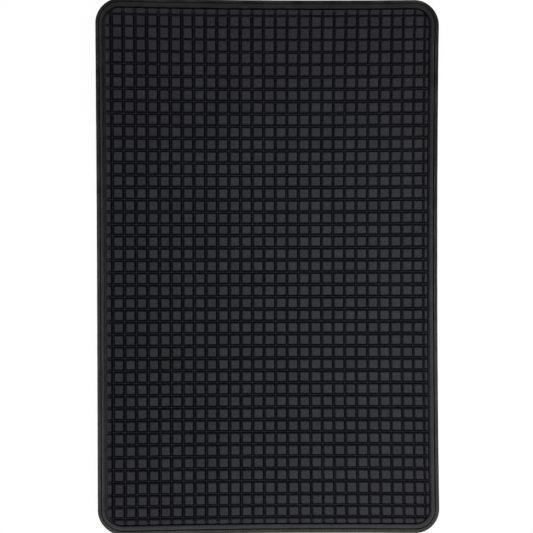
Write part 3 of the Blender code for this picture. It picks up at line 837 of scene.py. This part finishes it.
to_crimp = [*arc(-crimp_spacing - lead_turn, lead_turn_y, lead_turn, 2, 2, TURN_STEPS), lead_end]
line_jacket = jacket("line_jacket", LINE_BLACK, LINE_GREY)
neutral_jacket = jacket("neutral_jacket", NEUTRAL_WHITE, NEUTRAL_GREY)
earth_jacket = jacket("earth_jacket", EARTH_GREEN, EARTH_DULL)
for node, slot, finish, route in (
    ("cutout_lead", "line_jacket", line_jacket, [*from_joint, (-limiter_x, limiter_high.y + FIT_GAP)]),
    ("line_lead", "line_jacket", line_jacket, [(-limiter_x, limiter_low.y - FIT_GAP), *to_crimp]),
    ("neutral_lead", "neutral_jacket", neutral_jacket, mirrored(from_joint + to_crimp)),
    ("earth_lead", "earth_jacket", earth_jacket, [(0.0, earth_low.y), (0.0, earth_high.y)]),
):
    lead = tube(f"{node}_cable", route, LEAD_DIAMETER, finish.material)
    seat(lead, slot, node)

# Earth tab. A strip of brass lies under the foil and touches it. Its rear end is bent down into the notch,
# where the earth lead is joined to it.
tab_low, tab_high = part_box("earth_tab")
TAB_THICKNESS = 0.0004
TAB_BEND = 0.0007
TAB_EDGE = 0.00008
TAB_EDGE_STEPS = 2
bend_y = tab_high.y - TAB_BEND
bend_z = tab_high.z - TAB_BEND
tab_side = [
    (tab_high.y, tab_low.z),
    *arc(bend_y, bend_z, TAB_BEND, 0, 1),
    (tab_low.y, tab_high.z),
    (tab_low.y, tab_high.z - TAB_THICKNESS),
    *arc(bend_y, bend_z, TAB_BEND - TAB_THICKNESS, 1, -1),
    (tab_high.y - TAB_THICKNESS, tab_low.z),
]
tab_mesh = bmesh.new()
tab_loops = [[tab_mesh.verts.new((x, y, z)) for y, z in tab_side] for x in (tab_low.x, tab_high.x)]
capped_skin(tab_mesh, tab_loops)
tab = piece_of("tab", tab_mesh, brass.material)
round_edges(tab, TAB_EDGE, TAB_EDGE_STEPS)
seat(tab, "crimp_brass", "earth_tab")

# Fixing tapes. Three strips of woven glass tape are stuck across the passes and keep their spacing. Each
# sinks a little between one pass and the next.
TAPE_SAG = 0.0004
TAPE_STEPS_PER_PASS = 12
TAPE_ROWS = 4
TAPE_THREAD = 0.0008
TAPE_PALE = (0.82, 0.82, 0.8)
TAPE_DEEP = (0.52, 0.52, 0.5)
glass_tape = woven("glass_tape", TAPE_PALE, TAPE_DEEP, TAPE_THREAD)
for place in ("front", "middle", "rear"):
    tape_low, tape_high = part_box(f"fixing_tape_{place}")
    tape_length = tape_high.x - tape_low.x
    tape_width = tape_high.y - tape_low.y
    tape_steps = round(tape_length / pass_pitch * TAPE_STEPS_PER_PASS)
    tape_mesh = bmesh.new()
    tape_loops = []
    for step in range(tape_steps + 1):
        x = tape_low.x + tape_length * step / tape_steps
        sag = TAPE_SAG * math.sin(math.pi * (x + outer_pass) / pass_pitch) ** 2
        rows = [tape_low.y + tape_width * row / TAPE_ROWS for row in range(TAPE_ROWS + 1)]
        under = [tape_mesh.verts.new((x, y, tape_low.z - sag)) for y in rows]
        over = [tape_mesh.verts.new((x, y, tape_high.z - sag)) for y in reversed(rows)]
        tape_loops.append(under + over)
    capped_skin(tape_mesh, tape_loops)
    tape = piece_of(f"tape_{place}", tape_mesh, glass_tape.material)
    seat(tape, "glass_tape", f"fixing_tape_{place}")

# Heat spreader. A sheet of plain aluminium foil, cut to the same outline as the pad, lies over the wire and
# evens out the heat. It shows fine rolling lines and slight creases from handling.
FOIL_BRIGHT = (0.87, 0.88, 0.89)
FOIL_DULL = (0.66, 0.67, 0.69)
FOIL_ROLLING_SCALE = (4000.0, 12.0, 1.0)
FOIL_ROLLING = (1.0, 3.0)
FOIL_CREASES = (25.0, 5.0)
FOIL_CREASE_SHARE = 0.4
FOIL_TONE = (0.35, 0.65)
FOIL_ROUGHNESS = (0.2, 0.4)
FOIL_RELIEF_ROLLING_SHARE = 0.1
FOIL_RELIEF = 0.0006
foil = Finish("foil", metallic=1.0)
rolled = foil.start.node("ShaderNodeMapping", None, {"Vector": foil.place, "Scale": FOIL_ROLLING_SCALE})
rolling = rolled.noise(*FOIL_ROLLING)
creases = foil.place.noise(*FOIL_CREASES)
foil_tone = rolling.mixed(creases, FOIL_CREASE_SHARE).between(*FOIL_TONE)
foil.feed("Base Color", foil_tone.blend(FOIL_BRIGHT, FOIL_DULL))
foil.roughen(rolling, *FOIL_ROUGHNESS)
foil.bump(creases.mixed(rolling, FOIL_RELIEF_ROLLING_SHARE), FOIL_RELIEF)
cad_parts["heat_spreader"].data.materials.clear()
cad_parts["heat_spreader"].data.materials.append(foil.material)

# Rim frame. A band of smooth satin rubber, L in section, is pressed into the tray and glued. Its ledge
# carries the edge of the studded sheets all round, and its top is very slightly domed.
rim_low, rim_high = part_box("rim_frame")
sheet_low, sheet_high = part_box("front_stud_sheet")
RIM_FILLET = 0.0014
RIM_DOME = 0.0002
RIM_SHIFT = (0.0009, 0.0005, -0.0008, 0.0019)
RIM_FOOT_SHIFT = (0.0015, 0.0005, 0.0015, 0.0019)
RIM_FOOT_DEPTH = 0.0016
SEAM_OPEN = 0.0002
SHEET_JOINT = 0.0019
# Painted highlight: how pale the rim's outer edge is painted on each side.
RIM_HIGHLIGHT_SIDES = (1.0, 0.7, 1.0, 1.0)
# Painted shade: how dark the seam outside the rim and the joint inside it are painted on each side.
RIM_OUTER_SEAM_SHADE = (1.0, 0.9, 0.3, 1.0)
RIM_INNER_SEAM_SHADE = (0.4, 0.0, 0.3, 1.0)
RIM_DEEP = (0.003, 0.0029, 0.0034)
RIM_PALE = (0.052, 0.052, 0.058)
RIM_ROUGHNESS = 0.48
# Painted light: how much paler the rim is painted towards the front.
RIM_FRONT_PAINTED_LIGHT = 0.35
# Painted highlight: the share of the rim's colour that follows its outer edge.
RIM_HIGHLIGHT_SHARE = 0.5
rim_outer = tray_high.x - rim_high.x + SEAM_OPEN
rim_inner = tray_high.x - sheet_high.x - SHEET_JOINT
ledge_inner = tray_high.x - pad_high.x - FIT_GAP
ledge_top = sheet_low.z - FIT_GAP
rim_rubber = rubber("rim_rubber", RIM_DEEP, RIM_PALE, RIM_ROUGHNESS, RIM_FRONT_PAINTED_LIGHT, RIM_HIGHLIGHT_SHARE)
rim_mesh = bmesh.new()
outer_edge_highlight = rim_mesh.verts.layers.float.new("outer_edge_highlight")
rim_shade_layer = rim_mesh.verts.layers.float.new("painted_seam_shade")
fillet_height = rim_high.z - RIM_DOME - RIM_FILLET
crown_shift = [(outer + inner) / 2 for outer, inner in zip(SEAM_SHIFT, RIM_SHIFT)]
outer_profile = [
    (rim_outer, rim_low.z, SEAM_SHIFT),
    *[(*point, SEAM_SHIFT) for point in arc(rim_outer + RIM_FILLET, fillet_height, RIM_FILLET, 2, -1)],
]
crown_point = ((rim_outer + rim_inner) / 2, rim_high.z, crown_shift)
inner_profile = [
    *[(*point, RIM_SHIFT) for point in arc(rim_inner - RIM_FILLET, fillet_height, RIM_FILLET, 1, -1)],
    (rim_inner, rim_high.z - RIM_FOOT_DEPTH, RIM_FOOT_SHIFT),
    (rim_inner, ledge_top, RIM_FOOT_SHIFT),
]
rim_loops = []
for inset, height, shift in [*outer_profile, crown_point, *inner_profile]:
    loop = ring(rim_mesh, inset, height, shift)
    # The rim is painted paler towards its outer edge, as a painted highlight.
    mark(loop, outer_edge_highlight, ((rim_inner - inset) / (rim_inner - rim_outer)) ** 2, RIM_HIGHLIGHT_SIDES)
    rim_loops.append(loop)
outer_loops = rim_loops[1:len(outer_profile)]
inner_loops = rim_loops[-len(inner_profile):]
# The rim's outer fillet and its inner foot are painted darker towards the seams, as painted shade.
for step, loop in enumerate(reversed(outer_loops)):
    mark(loop, rim_shade_layer, step / FILLET_STEPS, RIM_OUTER_SEAM_SHADE)
for step, loop in enumerate(inner_loops):
    mark(loop, rim_shade_layer, min(step / FILLET_STEPS, 1.0), RIM_INNER_SEAM_SHADE)
rim_loops += [ring(rim_mesh, ledge_inner, height, soft=0.0) for height in (ledge_top, rim_low.z)]
skin(rim_mesh, [*rim_loops, rim_loops[0]])
rim = piece_of("rim", rim_mesh, rim_rubber.material)
channel_width = flange_width + 2 * FIT_GAP
channel_height = flange_height + 2 * FIT_GAP
cut_out(rim, oval_plug(hole_width, hole_height, hole_radius, WALL_THICKNESS, flange_depth))
channel_front = GROMMET_LIP - FIT_GAP
channel_back = ledge_inner + DRAWN_IN_REAR
cut_out(rim, oval_plug(channel_width, channel_height, hole_radius, channel_front, channel_back))
seat(rim, "rim_rubber", "rim_frame")

# Studded sheets. The top is pressed black rubber with square studs, in two lengths cut from stock and butted
# in the groove after a shortened row. Both are trimmed to the rim's opening, so the border studs are cut, and
# the grooves between them run out at the left side and at both ends.
STUD_WIDTH = 0.0085
STUD_LENGTH = 0.0087
COLUMN_GAP = 0.00354
ROW_GAP = 0.00414
SHORT_STUD = 0.00755
RIGHT_STUD = 0.0074
REAR_STUD = 0.0079
FRONT_STUD = 0.008
LEFT_CUT = 0.0059
COLUMN_PLACES = (-0.08, -0.02, 0.01, 0.145, 0.155)
COLUMN_LEFT_MOVES = (-0.0004, 0.0, 0.0, 0.0, 0.0)
COLUMN_RIGHT_MOVES = (0.0, 0.0, -0.0004, -0.0004, -0.0008)
ROW_PLACES = (-0.25, -0.238, -0.222, 0.195, 0.22, 0.245)
ROW_FRONT_MOVES = (0.0, -0.0007, 0.0, 0.0, 0.0004, 0.0006)
ROW_REAR_MOVES = (-0.0002, -0.0011, 0.0, 0.0, -0.0004, -0.001)
SHEET_SHIFT = (0.001, 0.0002, 0.0, 0.0014)
REAR_ROWS = 18
FRONT_ROWS = 24
COLUMNS = 28
WEB_THICKNESS = 0.0016
STUD_EDGE = 0.0002
STUD_CORNER = 0.0002
STUD_CORNER_STEPS = 2
STUD_MERGE = 1e-6
TOP_GROWTH = (-0.00045, 0.0001, -0.0001, -0.0001)
FOOT_GROWTH = (0.0012, 0.0001, 0.0006, 0.0006)
MOAT_DEPTH = 0.0013
RIDGE_WIDTH = 0.0006
RIDGE_SLOPE = 0.00015
RIDGE_HEIGHT = 0.0005
BORDER_FILL = 0.65
BORDER_MARGIN = 0.005
STRAIGHT_LIMIT = 1e-9
JOINT_OPEN = 0.00004
REAR_SEED = 7
FRONT_SEED = 17
STUD_LEAN = 0.00007
STUD_HEIGHT_SPREAD = 0.012
SHEET_PLUM = (0.0157, 0.0147, 0.0201)
SHEET_TEAL = (0.0142, 0.0171, 0.0193)
TEAL_REACH = (0.08, 0.31)
TEAL_MIDDLE = (0.0, -0.05, 0.0)
TEAL_MIDDLE_SHARE = 0.6
TEAL_STUD_SHARE = 0.2
TEAL_CLOUDS = (35.0, 2.0)
TEAL_CLOUD_SHARE = 0.2
SHEET_GLOSS = 0.14
SHEET_SPECKLE = (600.0, 4.0)
SHEET_SPECKLE_RANGE = (0.35, 0.65)
SHEET_MOTTLE = (160.0, 3.0)
STUD_TONE_SHARE = 0.25
MOTTLE_SHARE = 0.15
SPECKLE_SHARE = 0.3
SHEET_BLOOM_RANGE = (0.2, 0.9)
SHEET_ROUGHNESS = 0.83
MOTTLE_ROUGHNESS = 0.14
UNSHADED_SMOOTHNESS = 0.35
SHEET_DEPTH = 0.72
SHEET_BLOOM = 1.3
# Painted light: the stud sheet is painted paler away from the rear, more so to the right, and paler again to
# the front.
PAINTED_LIGHT_REAR_FROM = 0.1
PAINTED_LIGHT_FRONT_FROM = -0.14
PAINTED_LIGHT_RIGHT = 0.25
PAINTED_LIGHT_LEFT = 0.07
PAINTED_LIGHT_FRONT = 0.17
# Painted shade: the near-black painted into the grooves, and the share of the rubber's colour kept on the
# groove floor.
GROOVE_PAINTED_SHADE = (0.0012, 0.0012, 0.0018)
GROOVE_FLOOR_SHARE = 0.42
UNSHADED_HEIGHT = 0.8
# Painted light: how much paler the studs' walls are painted below their top edge, as if lit.
WALL_PAINTED_LIGHT = 0.9
WALL_PAINTED_LIGHT_DEPTH = 0.0008
rear_low, rear_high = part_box("rear_stud_sheet")
groove_floor = sheet_low.z + WEB_THICKNESS
stud_height = sheet_high.z - groove_floor
column_pitch = STUD_WIDTH + COLUMN_GAP
row_pitch = STUD_LENGTH + ROW_GAP


def stud_cell():
    """One stud with its half of the grooves round it, centred, with the groove's floor at zero height.

    Its left side has more draft than the others. A low ridge runs along the middle of each groove."""
    bm = bmesh.new()
    ridge_y = (ROW_GAP - RIDGE_WIDTH) / 2
    ridge_growth = ((COLUMN_GAP - RIDGE_WIDTH) / 2, (COLUMN_GAP - RIDGE_SLOPE) / 2, ridge_y, ridge_y)
    sections = [
        ([side - STUD_EDGE for side in TOP_GROWTH], stud_height),
        (TOP_GROWTH, stud_height - STUD_EDGE),
        (FOOT_GROWTH, -MOAT_DEPTH),
        ([side - RIDGE_SLOPE for side in ridge_growth], -MOAT_DEPTH),
        (ridge_growth, RIDGE_HEIGHT),
    ]
    loops = []
    for (left, right, front, rear), height in sections:
        width = STUD_WIDTH + left + right
        length = STUD_LENGTH + front + rear
        points = rounded_points(width, length, STUD_CORNER, STUD_CORNER_STEPS)
        aside = Vector(((right - left) / 2, (rear - front) / 2, height))
        loops.append([bm.verts.new(Vector((x, y, 0.0)) + aside) for x, y in points])
    border = []
    inner_x = STUD_WIDTH / 2 - STUD_CORNER
    inner_y = STUD_LENGTH / 2 - STUD_CORNER
    edge_x = column_pitch / 2
    edge_y = row_pitch / 2
    corner = [(edge_x, inner_y), (edge_x, edge_y), (inner_x, edge_y)]
    for side_x, side_y in CORNERS:
        points = corner[::side_x * side_y]
        border += [bm.verts.new((side_x * x, side_y * y, RIDGE_HEIGHT)) for x, y in points]
    skin(bm, [*loops, border])
    bm.faces.new(loops[0])
    return bm


def stock_tree():
    """Nodes that lay studs out as stock sheet: a grid of cells, each with its own tone, lean and height."""
    tree = bpy.data.node_groups.new("studded_stock", "GeometryNodeTree")
    inputs = {}
    for name, kind in (
        ("Stud", "NodeSocketObject"),
        ("Columns", "NodeSocketInt"),
        ("Rows", "NodeSocketInt"),
        ("Column pitch", "NodeSocketFloat"),
        ("Row pitch", "NodeSocketFloat"),
        ("Stud height", "NodeSocketFloat"),
        ("Height spread", "NodeSocketFloat"),
        ("Lean", "NodeSocketFloat"),
        ("Seed", "NodeSocketInt"),
        ("Rubber", "NodeSocketMaterial"),
    ):
        inputs[name] = tree.interface.new_socket(name=name, in_out="INPUT", socket_type=kind).identifier
    tree.interface.new_socket(name="Sheet", in_out="OUTPUT", socket_type="NodeSocketGeometry")
    entry = tree.nodes.new("NodeGroupInput")
    given = {name: Shade(tree, entry.outputs[name]) for name in inputs}
    add = Shade(tree).node

    def random(low, high, draw):
        """Draws a number for each stud.

        The node takes its range in sockets 2 and 3 and gives the number from output 1."""
        sockets = {2: low, 3: high, "Seed": given["Seed"] + draw}
        return add("FunctionNodeRandomValue", {"data_type": "FLOAT"}, sockets, 1)

    def store(geometry, name, kind, value):
        """Lets each stud carry a value under a name."""
        settings = {"data_type": kind, "domain": "INSTANCE"}
        sockets = {"Geometry": geometry, "Name": name, "Value": value}
        return add("GeometryNodeStoreNamedAttribute", settings, sockets, "Geometry")

    width = (given["Columns"] - 1) * given["Column pitch"]
    length = (given["Rows"] - 1) * given["Row pitch"]
    counts = {"Vertices X": given["Columns"], "Vertices Y": given["Rows"]}
    grid = add("GeometryNodeMeshGrid", None, {"Size X": width, "Size Y": length, **counts}, "Mesh")
    stud = add("GeometryNodeObjectInfo", None, {"Object": given["Stud"]}, "Geometry")
    height = random(1 - given["Height spread"], 1.0, 0)
    scale = add("ShaderNodeCombineXYZ", None, {0: 1.0, 1: 1.0, 2: height})
    studs = add("GeometryNodeInstanceOnPoints", None, {"Points": grid, "Instance": stud, "Scale": scale})
    studs = store(studs, "stud_tone", "FLOAT", random(0.0, 1.0, 1))
    studs = store(studs, "stud_tint", "FLOAT", random(0.0, 1.0, 2))
    backward = given["Lean"] * -1.0
    lean_x = random(backward, given["Lean"], 3)
    lean_y = random(backward, given["Lean"], 4)
    lean = add("ShaderNodeCombineXYZ", None, {0: lean_x, 1: lean_y})
    studs = store(studs, "stud_lean", "FLOAT_VECTOR", lean)
    sheet = add("GeometryNodeRealizeInstances", None, {"Geometry": studs})
    up = add("GeometryNodeInputPosition").axis(2)
    share = up.maths("DIVIDE", up, given["Stud height"])
    lean_kind = {"data_type": "FLOAT_VECTOR"}
    leaning = add("GeometryNodeInputNamedAttribute", lean_kind, {"Name": "stud_lean"})
    offset = add("ShaderNodeVectorMath", {"operation": "SCALE"}, {0: leaning, "Scale": share})
    sheet = add("GeometryNodeSetPosition", None, {"Geometry": sheet, "Offset": offset})
    sheet = add("GeometryNodeMergeByDistance", None, {"Geometry": sheet, "Distance": STUD_MERGE})
    sheet = add("GeometryNodeSetMaterial", None, {"Geometry": sheet, "Material": given["Rubber"]})
    tree.links.new(sheet.socket, tree.nodes.new("NodeGroupOutput").inputs[0])
    return tree, inputs


def groove_lines(first, studs, gap):
    """Groove centre lines from the first one on, with these studs between them."""
    lines = [first]
    for side in studs:
        lines.append(lines[-1] + side + gap)
    return lines


def laid_out(stock, lines, pitch, gap, places, low_moves, high_moves):
    """Moves stock coordinates, centred and evenly pitched, onto real groove lines.

    The low and the high edge of a groove move a little, by amounts given at some places along the sheet."""
    middle = (len(lines) - 1) / 2
    stock_marks = []
    real_marks = []
    for index, line in enumerate(lines):
        stock_line = (index - middle) * pitch
        low_edge = line - gap / 2 + np.interp(line, places, low_moves)
        high_edge = line + gap / 2 + np.interp(line, places, high_moves)
        stock_marks += [stock_line - gap / 2, stock_line + gap / 2]
        real_marks += [low_edge, high_edge]
    return np.interp(stock, stock_marks, real_marks)


def trim(bm, faces, point, outward):
    """Cuts faces at an upright plane and clears what lies past it. Returns the faces that are left."""
    edges = {edge for face in faces for edge in face.edges}
    verts = {vert for face in faces for vert in face.verts}
    left = bmesh.ops.bisect_plane(
        bm,
        geom=[*verts, *edges, *faces],
        dist=MERGE_DISTANCE,
        plane_co=(*point, 0.0),
        plane_no=(*outward, 0.0),
        clear_outer=True,
    )
    return [element for element in left["geom"] if isinstance(element, bmesh.types.BMFace)]


def stud_sheet(name, node, columns, rows, seed):
    """One length of studded sheet: stock laid on its groove lines, trimmed to the opening, with its web."""
    piece = piece_of(name, bmesh.new(), sheet_rubber.material)
    modifier = piece.modifiers.new("studs", "NODES")
    modifier.node_group = stock_nodes
    for label, value in (
        ("Stud", stud),
        ("Columns", len(columns) - 1),
        ("Rows", len(rows) - 1),
        ("Column pitch", column_pitch),
        ("Row pitch", row_pitch),
        ("Stud height", stud_height),
        ("Height spread", STUD_HEIGHT_SPREAD),
        ("Lean", STUD_LEAN),
        ("Seed", seed),
        ("Rubber", sheet_rubber.material),
    ):
        modifier[stock_inputs[label]] = value
    settle(piece)
    mesh = piece.data
    places = np.zeros(len(mesh.vertices) * 3)
    mesh.vertices.foreach_get("co", places)
    places = places.reshape(-1, 3)
    column_moves = (COLUMN_PLACES, COLUMN_LEFT_MOVES, COLUMN_RIGHT_MOVES)
    row_moves = (ROW_PLACES, ROW_FRONT_MOVES, ROW_REAR_MOVES)
    places[:, 0] = laid_out(places[:, 0], columns, column_pitch, COLUMN_GAP, *column_moves)
    places[:, 1] = laid_out(places[:, 1], rows, row_pitch, ROW_GAP, *row_moves)
    places[:, 2] += groove_floor
    mesh.vertices.foreach_set("co", places.ravel())
    bm = bmesh.new()
    bm.from_mesh(mesh)
    inset = tray_high.x - sheet_high.x
    inner_x = sheet_high.x - column_pitch
    inner_y = rear_high.y - row_pitch
    centres = [(face, face.calc_center_bounds()) for face in bm.faces]
    border = [face for face, centre in centres if abs(centre.x) > inner_x or abs(centre.y) > inner_y]
    opening = []
    for point, outward in edge_line():
        opening.append(point - outward * (inset + by_side(outward, *SHEET_SHIFT)))
    cut_along = None
    for before, point in zip(opening[-1:] + opening, opening):
        along = (point - before).normalized()
        if cut_along is None or along.dot(cut_along) < 1 - STRAIGHT_LIMIT:
            border = trim(bm, border, point, Vector((along.y, -along.x)))
            cut_along = along
    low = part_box(node)[0]
    rim_edges = [edge for edge in bm.edges if edge.is_boundary]
    for vert in {vert for edge in rim_edges for vert in edge.verts}:
        at_left = vert.co.x < BORDER_MARGIN - sheet_high.x
        at_end = abs(vert.co.y) > rear_high.y - BORDER_MARGIN
        if at_left or at_end:
            vert.co.z += BORDER_FILL * (sheet_high.z - vert.co.z)
    for element in bmesh.ops.extrude_edge_only(bm, edges=rim_edges)["geom"]:
        if isinstance(element, bmesh.types.BMVert):
            element.co.z = low.z
    bmesh.ops.contextual_create(bm, geom=[edge for edge in bm.edges if edge.is_boundary])
    for vert in bm.verts:
        vert.co.x, vert.co.y = drawn_in(vert.co.x, vert.co.y)
    bmesh.ops.recalc_face_normals(bm, faces=bm.faces)
    bm.to_mesh(mesh)
    bm.free()
    mesh.shade_smooth()
    mesh.set_sharp_from_angle(angle=SMOOTH_ANGLE)
    weighted = piece.modifiers.new("flat_tops", "WEIGHTED_NORMAL")
    weighted.keep_sharp = True
    settle(piece)
    seat(piece, "stud_rubber", node)


sheet_rubber = Finish("stud_rubber", specular=SHEET_GLOSS)
tone = sheet_rubber.painted("stud_tone")
tint = sheet_rubber.painted("stud_tint")
speckle = sheet_rubber.place.noise(*SHEET_SPECKLE).between(*SHEET_SPECKLE_RANGE)
mottle = sheet_rubber.place.noise(*SHEET_MOTTLE)
sheet_height = sheet_rubber.place.axis(2)
# The moat and the lower walls are painted black, as painted shade in the grooves.
unshaded_from = groove_floor + stud_height * UNSHADED_HEIGHT
out_of_moat = sheet_height.between(groove_floor - MOAT_DEPTH, groove_floor)
unshaded = out_of_moat.mixed(sheet_height.between(groove_floor, unshaded_from), 1 - GROOVE_FLOOR_SHARE)
# Painted light: paler away from the rear, more so to the right, and paler to the front.
near_rear = sheet_rubber.place.axis(1).between(PAINTED_LIGHT_REAR_FROM, tray_high.y)
near_front = sheet_rubber.place.axis(1).between(PAINTED_LIGHT_FRONT_FROM, tray_low.y)
rightward = sheet_rubber.place.axis(0).between(tray_low.x, tray_high.x)
painted_light_falloff = (1 - near_rear) * (rightward * PAINTED_LIGHT_RIGHT + PAINTED_LIGHT_LEFT) + near_front * PAINTED_LIGHT_FRONT
paling_and_painted_light = tone * STUD_TONE_SHARE + mottle * MOTTLE_SHARE + speckle * SPECKLE_SHARE + painted_light_falloff
bloom = paling_and_painted_light.between(*SHEET_BLOOM_RANGE)
# The walls below the studs' top edge are painted paler, as painted light.
wall = 1 - sheet_height.between(sheet_high.z - WALL_PAINTED_LIGHT_DEPTH, sheet_high.z - STUD_EDGE)
brightness = (bloom * (SHEET_BLOOM - SHEET_DEPTH) + SHEET_DEPTH) * (wall * WALL_PAINTED_LIGHT + 1)
to_middle = {0: sheet_rubber.place, 1: TEAL_MIDDLE}
from_middle = sheet_rubber.start.node("ShaderNodeVectorMath", {"operation": "DISTANCE"}, to_middle, 1)
near_middle = 1 - from_middle.between(*TEAL_REACH)
clouds = sheet_rubber.place.noise(*TEAL_CLOUDS)
teal = near_middle * TEAL_MIDDLE_SHARE + tint * TEAL_STUD_SHARE + clouds * TEAL_CLOUD_SHARE
tinted = teal.between(0.0, 1.0).blend(SHEET_PLUM, SHEET_TEAL)
scaling = {"operation": "SCALE"}
rubber_colour = sheet_rubber.start.node("ShaderNodeVectorMath", scaling, {0: tinted, "Scale": brightness})
# The grooves take the painted shade, and the tops keep the rubber's colour.
sheet_rubber.feed("Base Color", unshaded.blend(GROOVE_PAINTED_SHADE, rubber_colour))
sheet_rubber.feed("Roughness", mottle * MOTTLE_ROUGHNESS + (SHEET_ROUGHNESS - unshaded * UNSHADED_SMOOTHNESS))
sheet_rubber.bump(sheet_rubber.place.noise(*MOULD_GRAIN), MOULD_GRAIN_DEPTH)

stud = piece_of("stud", stud_cell(), sheet_rubber.material)
stock_nodes, stock_inputs = stock_tree()
sheet_left = -sheet_high.x
first_column = sheet_left + LEFT_CUT - column_pitch
column_studs = [STUD_WIDTH] * (COLUMNS - 1) + [RIGHT_STUD] + [STUD_WIDTH] * 2
columns = groove_lines(first_column, column_studs, COLUMN_GAP)
joint_y = (rear_low.y + sheet_high.y) / 2
first_row = joint_y + JOINT_OPEN / 2
rear_studs = [SHORT_STUD] + [STUD_LENGTH] * (REAR_ROWS - 2) + [REAR_STUD, STUD_LENGTH]
rear_rows = groove_lines(first_row, rear_studs, ROW_GAP)
front_studs = [STUD_LENGTH] * (FRONT_ROWS - 2) + [FRONT_STUD, STUD_LENGTH]
front_rows = [2 * joint_y - line for line in groove_lines(first_row, front_studs, ROW_GAP)][::-1]
stud_sheet("rear_studs", "rear_stud_sheet", columns, rear_rows, REAR_SEED)
stud_sheet("front_studs", "front_stud_sheet", columns, front_rows, FRONT_SEED)
bpy.data.objects.remove(stud, do_unlink=True)

# Floor, light and camera. The mat lies on a plain white floor in soft studio light, seen from almost straight
# above. The floor and the world show white to the camera, and the floor keeps the mat's shadow. It is clear
# from below, so that the underside can be looked at.
FLOOR_REACH = 3.0
FLOOR_DROP = 0.0001
FLOOR_WHITE = (0.94, 0.94, 0.94)
FLOOR_SHADOW_SHARE = 0.06
PLAIN_WHITE = (1.0, 1.0, 1.0, 1.0)
SKY_COLOUR = (0.96, 0.98, 1.0, 1.0)
WORLD_HORIZON = 0.4
WORLD_TOP = 0.55
WORLD_SWING = (-0.2, -0.3)
CAMERA_PLACE = (-0.0369, 0.0051, 0.75535)
CAMERA_TURN = (-0.0055, -0.0096, -0.0024)
CAMERA_LENS = 48.313
CAMERA_SHIFT = 0.05
LAMPS = (
    ("ceiling_lamp", (0.2, -0.05, 1.1), (0.06, -0.02, 0.0), 0.5, 3.2, 0.3),
    ("front_lamp", (0.15, -0.85, 0.9), (0.0, -0.15, 0.0), 0.7, 2.0, 0.1),
    ("right_lamp", (1.1, -0.2, 0.8), (0.05, 0.0, 0.0), 0.9, 3.2, 0.1),
)


def shown_white(tree, lit, share):
    """Mixes plain white into what the camera, reflections and glass see, and leaves the light as it is."""
    start = Shade(tree)
    camera_ray = start.node("ShaderNodeLightPath", None, None, "Is Camera Ray")
    glossy_ray = start.node("ShaderNodeLightPath", None, None, "Is Glossy Ray")
    glass_ray = start.node("ShaderNodeLightPath", None, None, "Is Transmission Ray")
    seen = (camera_ray + glossy_ray + glass_ray).between(0.0, 1.0)
    white = start.node("ShaderNodeEmission", None, {"Color": PLAIN_WHITE, "Strength": 1.0})
    return start.node("ShaderNodeMixShader", None, {0: seen * share, 1: lit, 2: white})


floor_mesh = bmesh.new()
bmesh.ops.create_grid(floor_mesh, x_segments=1, y_segments=1, size=FLOOR_REACH)
bmesh.ops.translate(floor_mesh, verts=floor_mesh.verts, vec=(0.0, 0.0, -FLOOR_DROP))
floor_material = bpy.data.materials.new("floor")
floor_material.use_nodes = True
floor_tree = floor_material.node_tree
floor_tree.nodes.clear()
matt = Shade(floor_tree).node("ShaderNodeBsdfDiffuse", None, {"Color": (*FLOOR_WHITE, 1.0)})
floor_top_side = shown_white(floor_tree, matt, 1 - FLOOR_SHADOW_SHARE)
from_below = matt.node("ShaderNodeNewGeometry", None, None, "Backfacing")
clear = matt.node("ShaderNodeBsdfTransparent")
floor_surface = matt.node("ShaderNodeMixShader", None, {0: from_below, 1: floor_top_side, 2: clear})
floor_tree.links.new(floor_surface.socket, floor_tree.nodes.new("ShaderNodeOutputMaterial").inputs["Surface"])
floor = piece_of("floor", floor_mesh, floor_material)

world = bpy.data.worlds.new("studio")
world.use_nodes = True
world_tree = world.node_tree
world_tree.nodes.clear()
in_world = Shade(world_tree)
camera_ray = in_world.node("ShaderNodeLightPath", None, None, "Is Camera Ray")
direction = in_world.node("ShaderNodeTexCoord", output="Generated")
sideways = direction.axis(0) * WORLD_SWING[0] + direction.axis(1) * WORLD_SWING[1]
steepness = in_world.maths("ABSOLUTE", direction.axis(2))
sky_light = (sideways + WORLD_TOP) * steepness + WORLD_HORIZON
sky = in_world.node("ShaderNodeBackground", None, {"Color": SKY_COLOUR, "Strength": sky_light})
white_sky = in_world.node("ShaderNodeBackground", None, {"Color": PLAIN_WHITE, "Strength": 1.0})
seen_sky = in_world.node("ShaderNodeMixShader", None, {0: camera_ray, 1: sky, 2: white_sky})
world_tree.links.new(seen_sky.socket, world_tree.nodes.new("ShaderNodeOutputWorld").inputs["Surface"])
bpy.context.scene.world = world

for name, place, aim, size, power, diffuse in LAMPS:
    lamp_data = bpy.data.lights.new(name, "AREA")
    lamp_data.size = size
    lamp_data.energy = power
    lamp_data.diffuse_factor = diffuse
    lamp = bpy.data.objects.new(name, lamp_data)
    lamp.location = place
    lamp.rotation_euler = (Vector(aim) - Vector(place)).to_track_quat("-Z", "Y").to_euler()
    bpy.context.scene.collection.objects.link(lamp)

camera_data = bpy.data.cameras.new("camera")
camera_data.lens = CAMERA_LENS
camera_data.shift_x = CAMERA_SHIFT
camera = bpy.data.objects.new("camera", camera_data)
camera.location = CAMERA_PLACE
camera.rotation_euler = CAMERA_TURN
bpy.context.scene.collection.objects.link(camera)
bpy.context.scene.camera = camera
bpy.context.scene.view_settings.view_transform = "Standard"
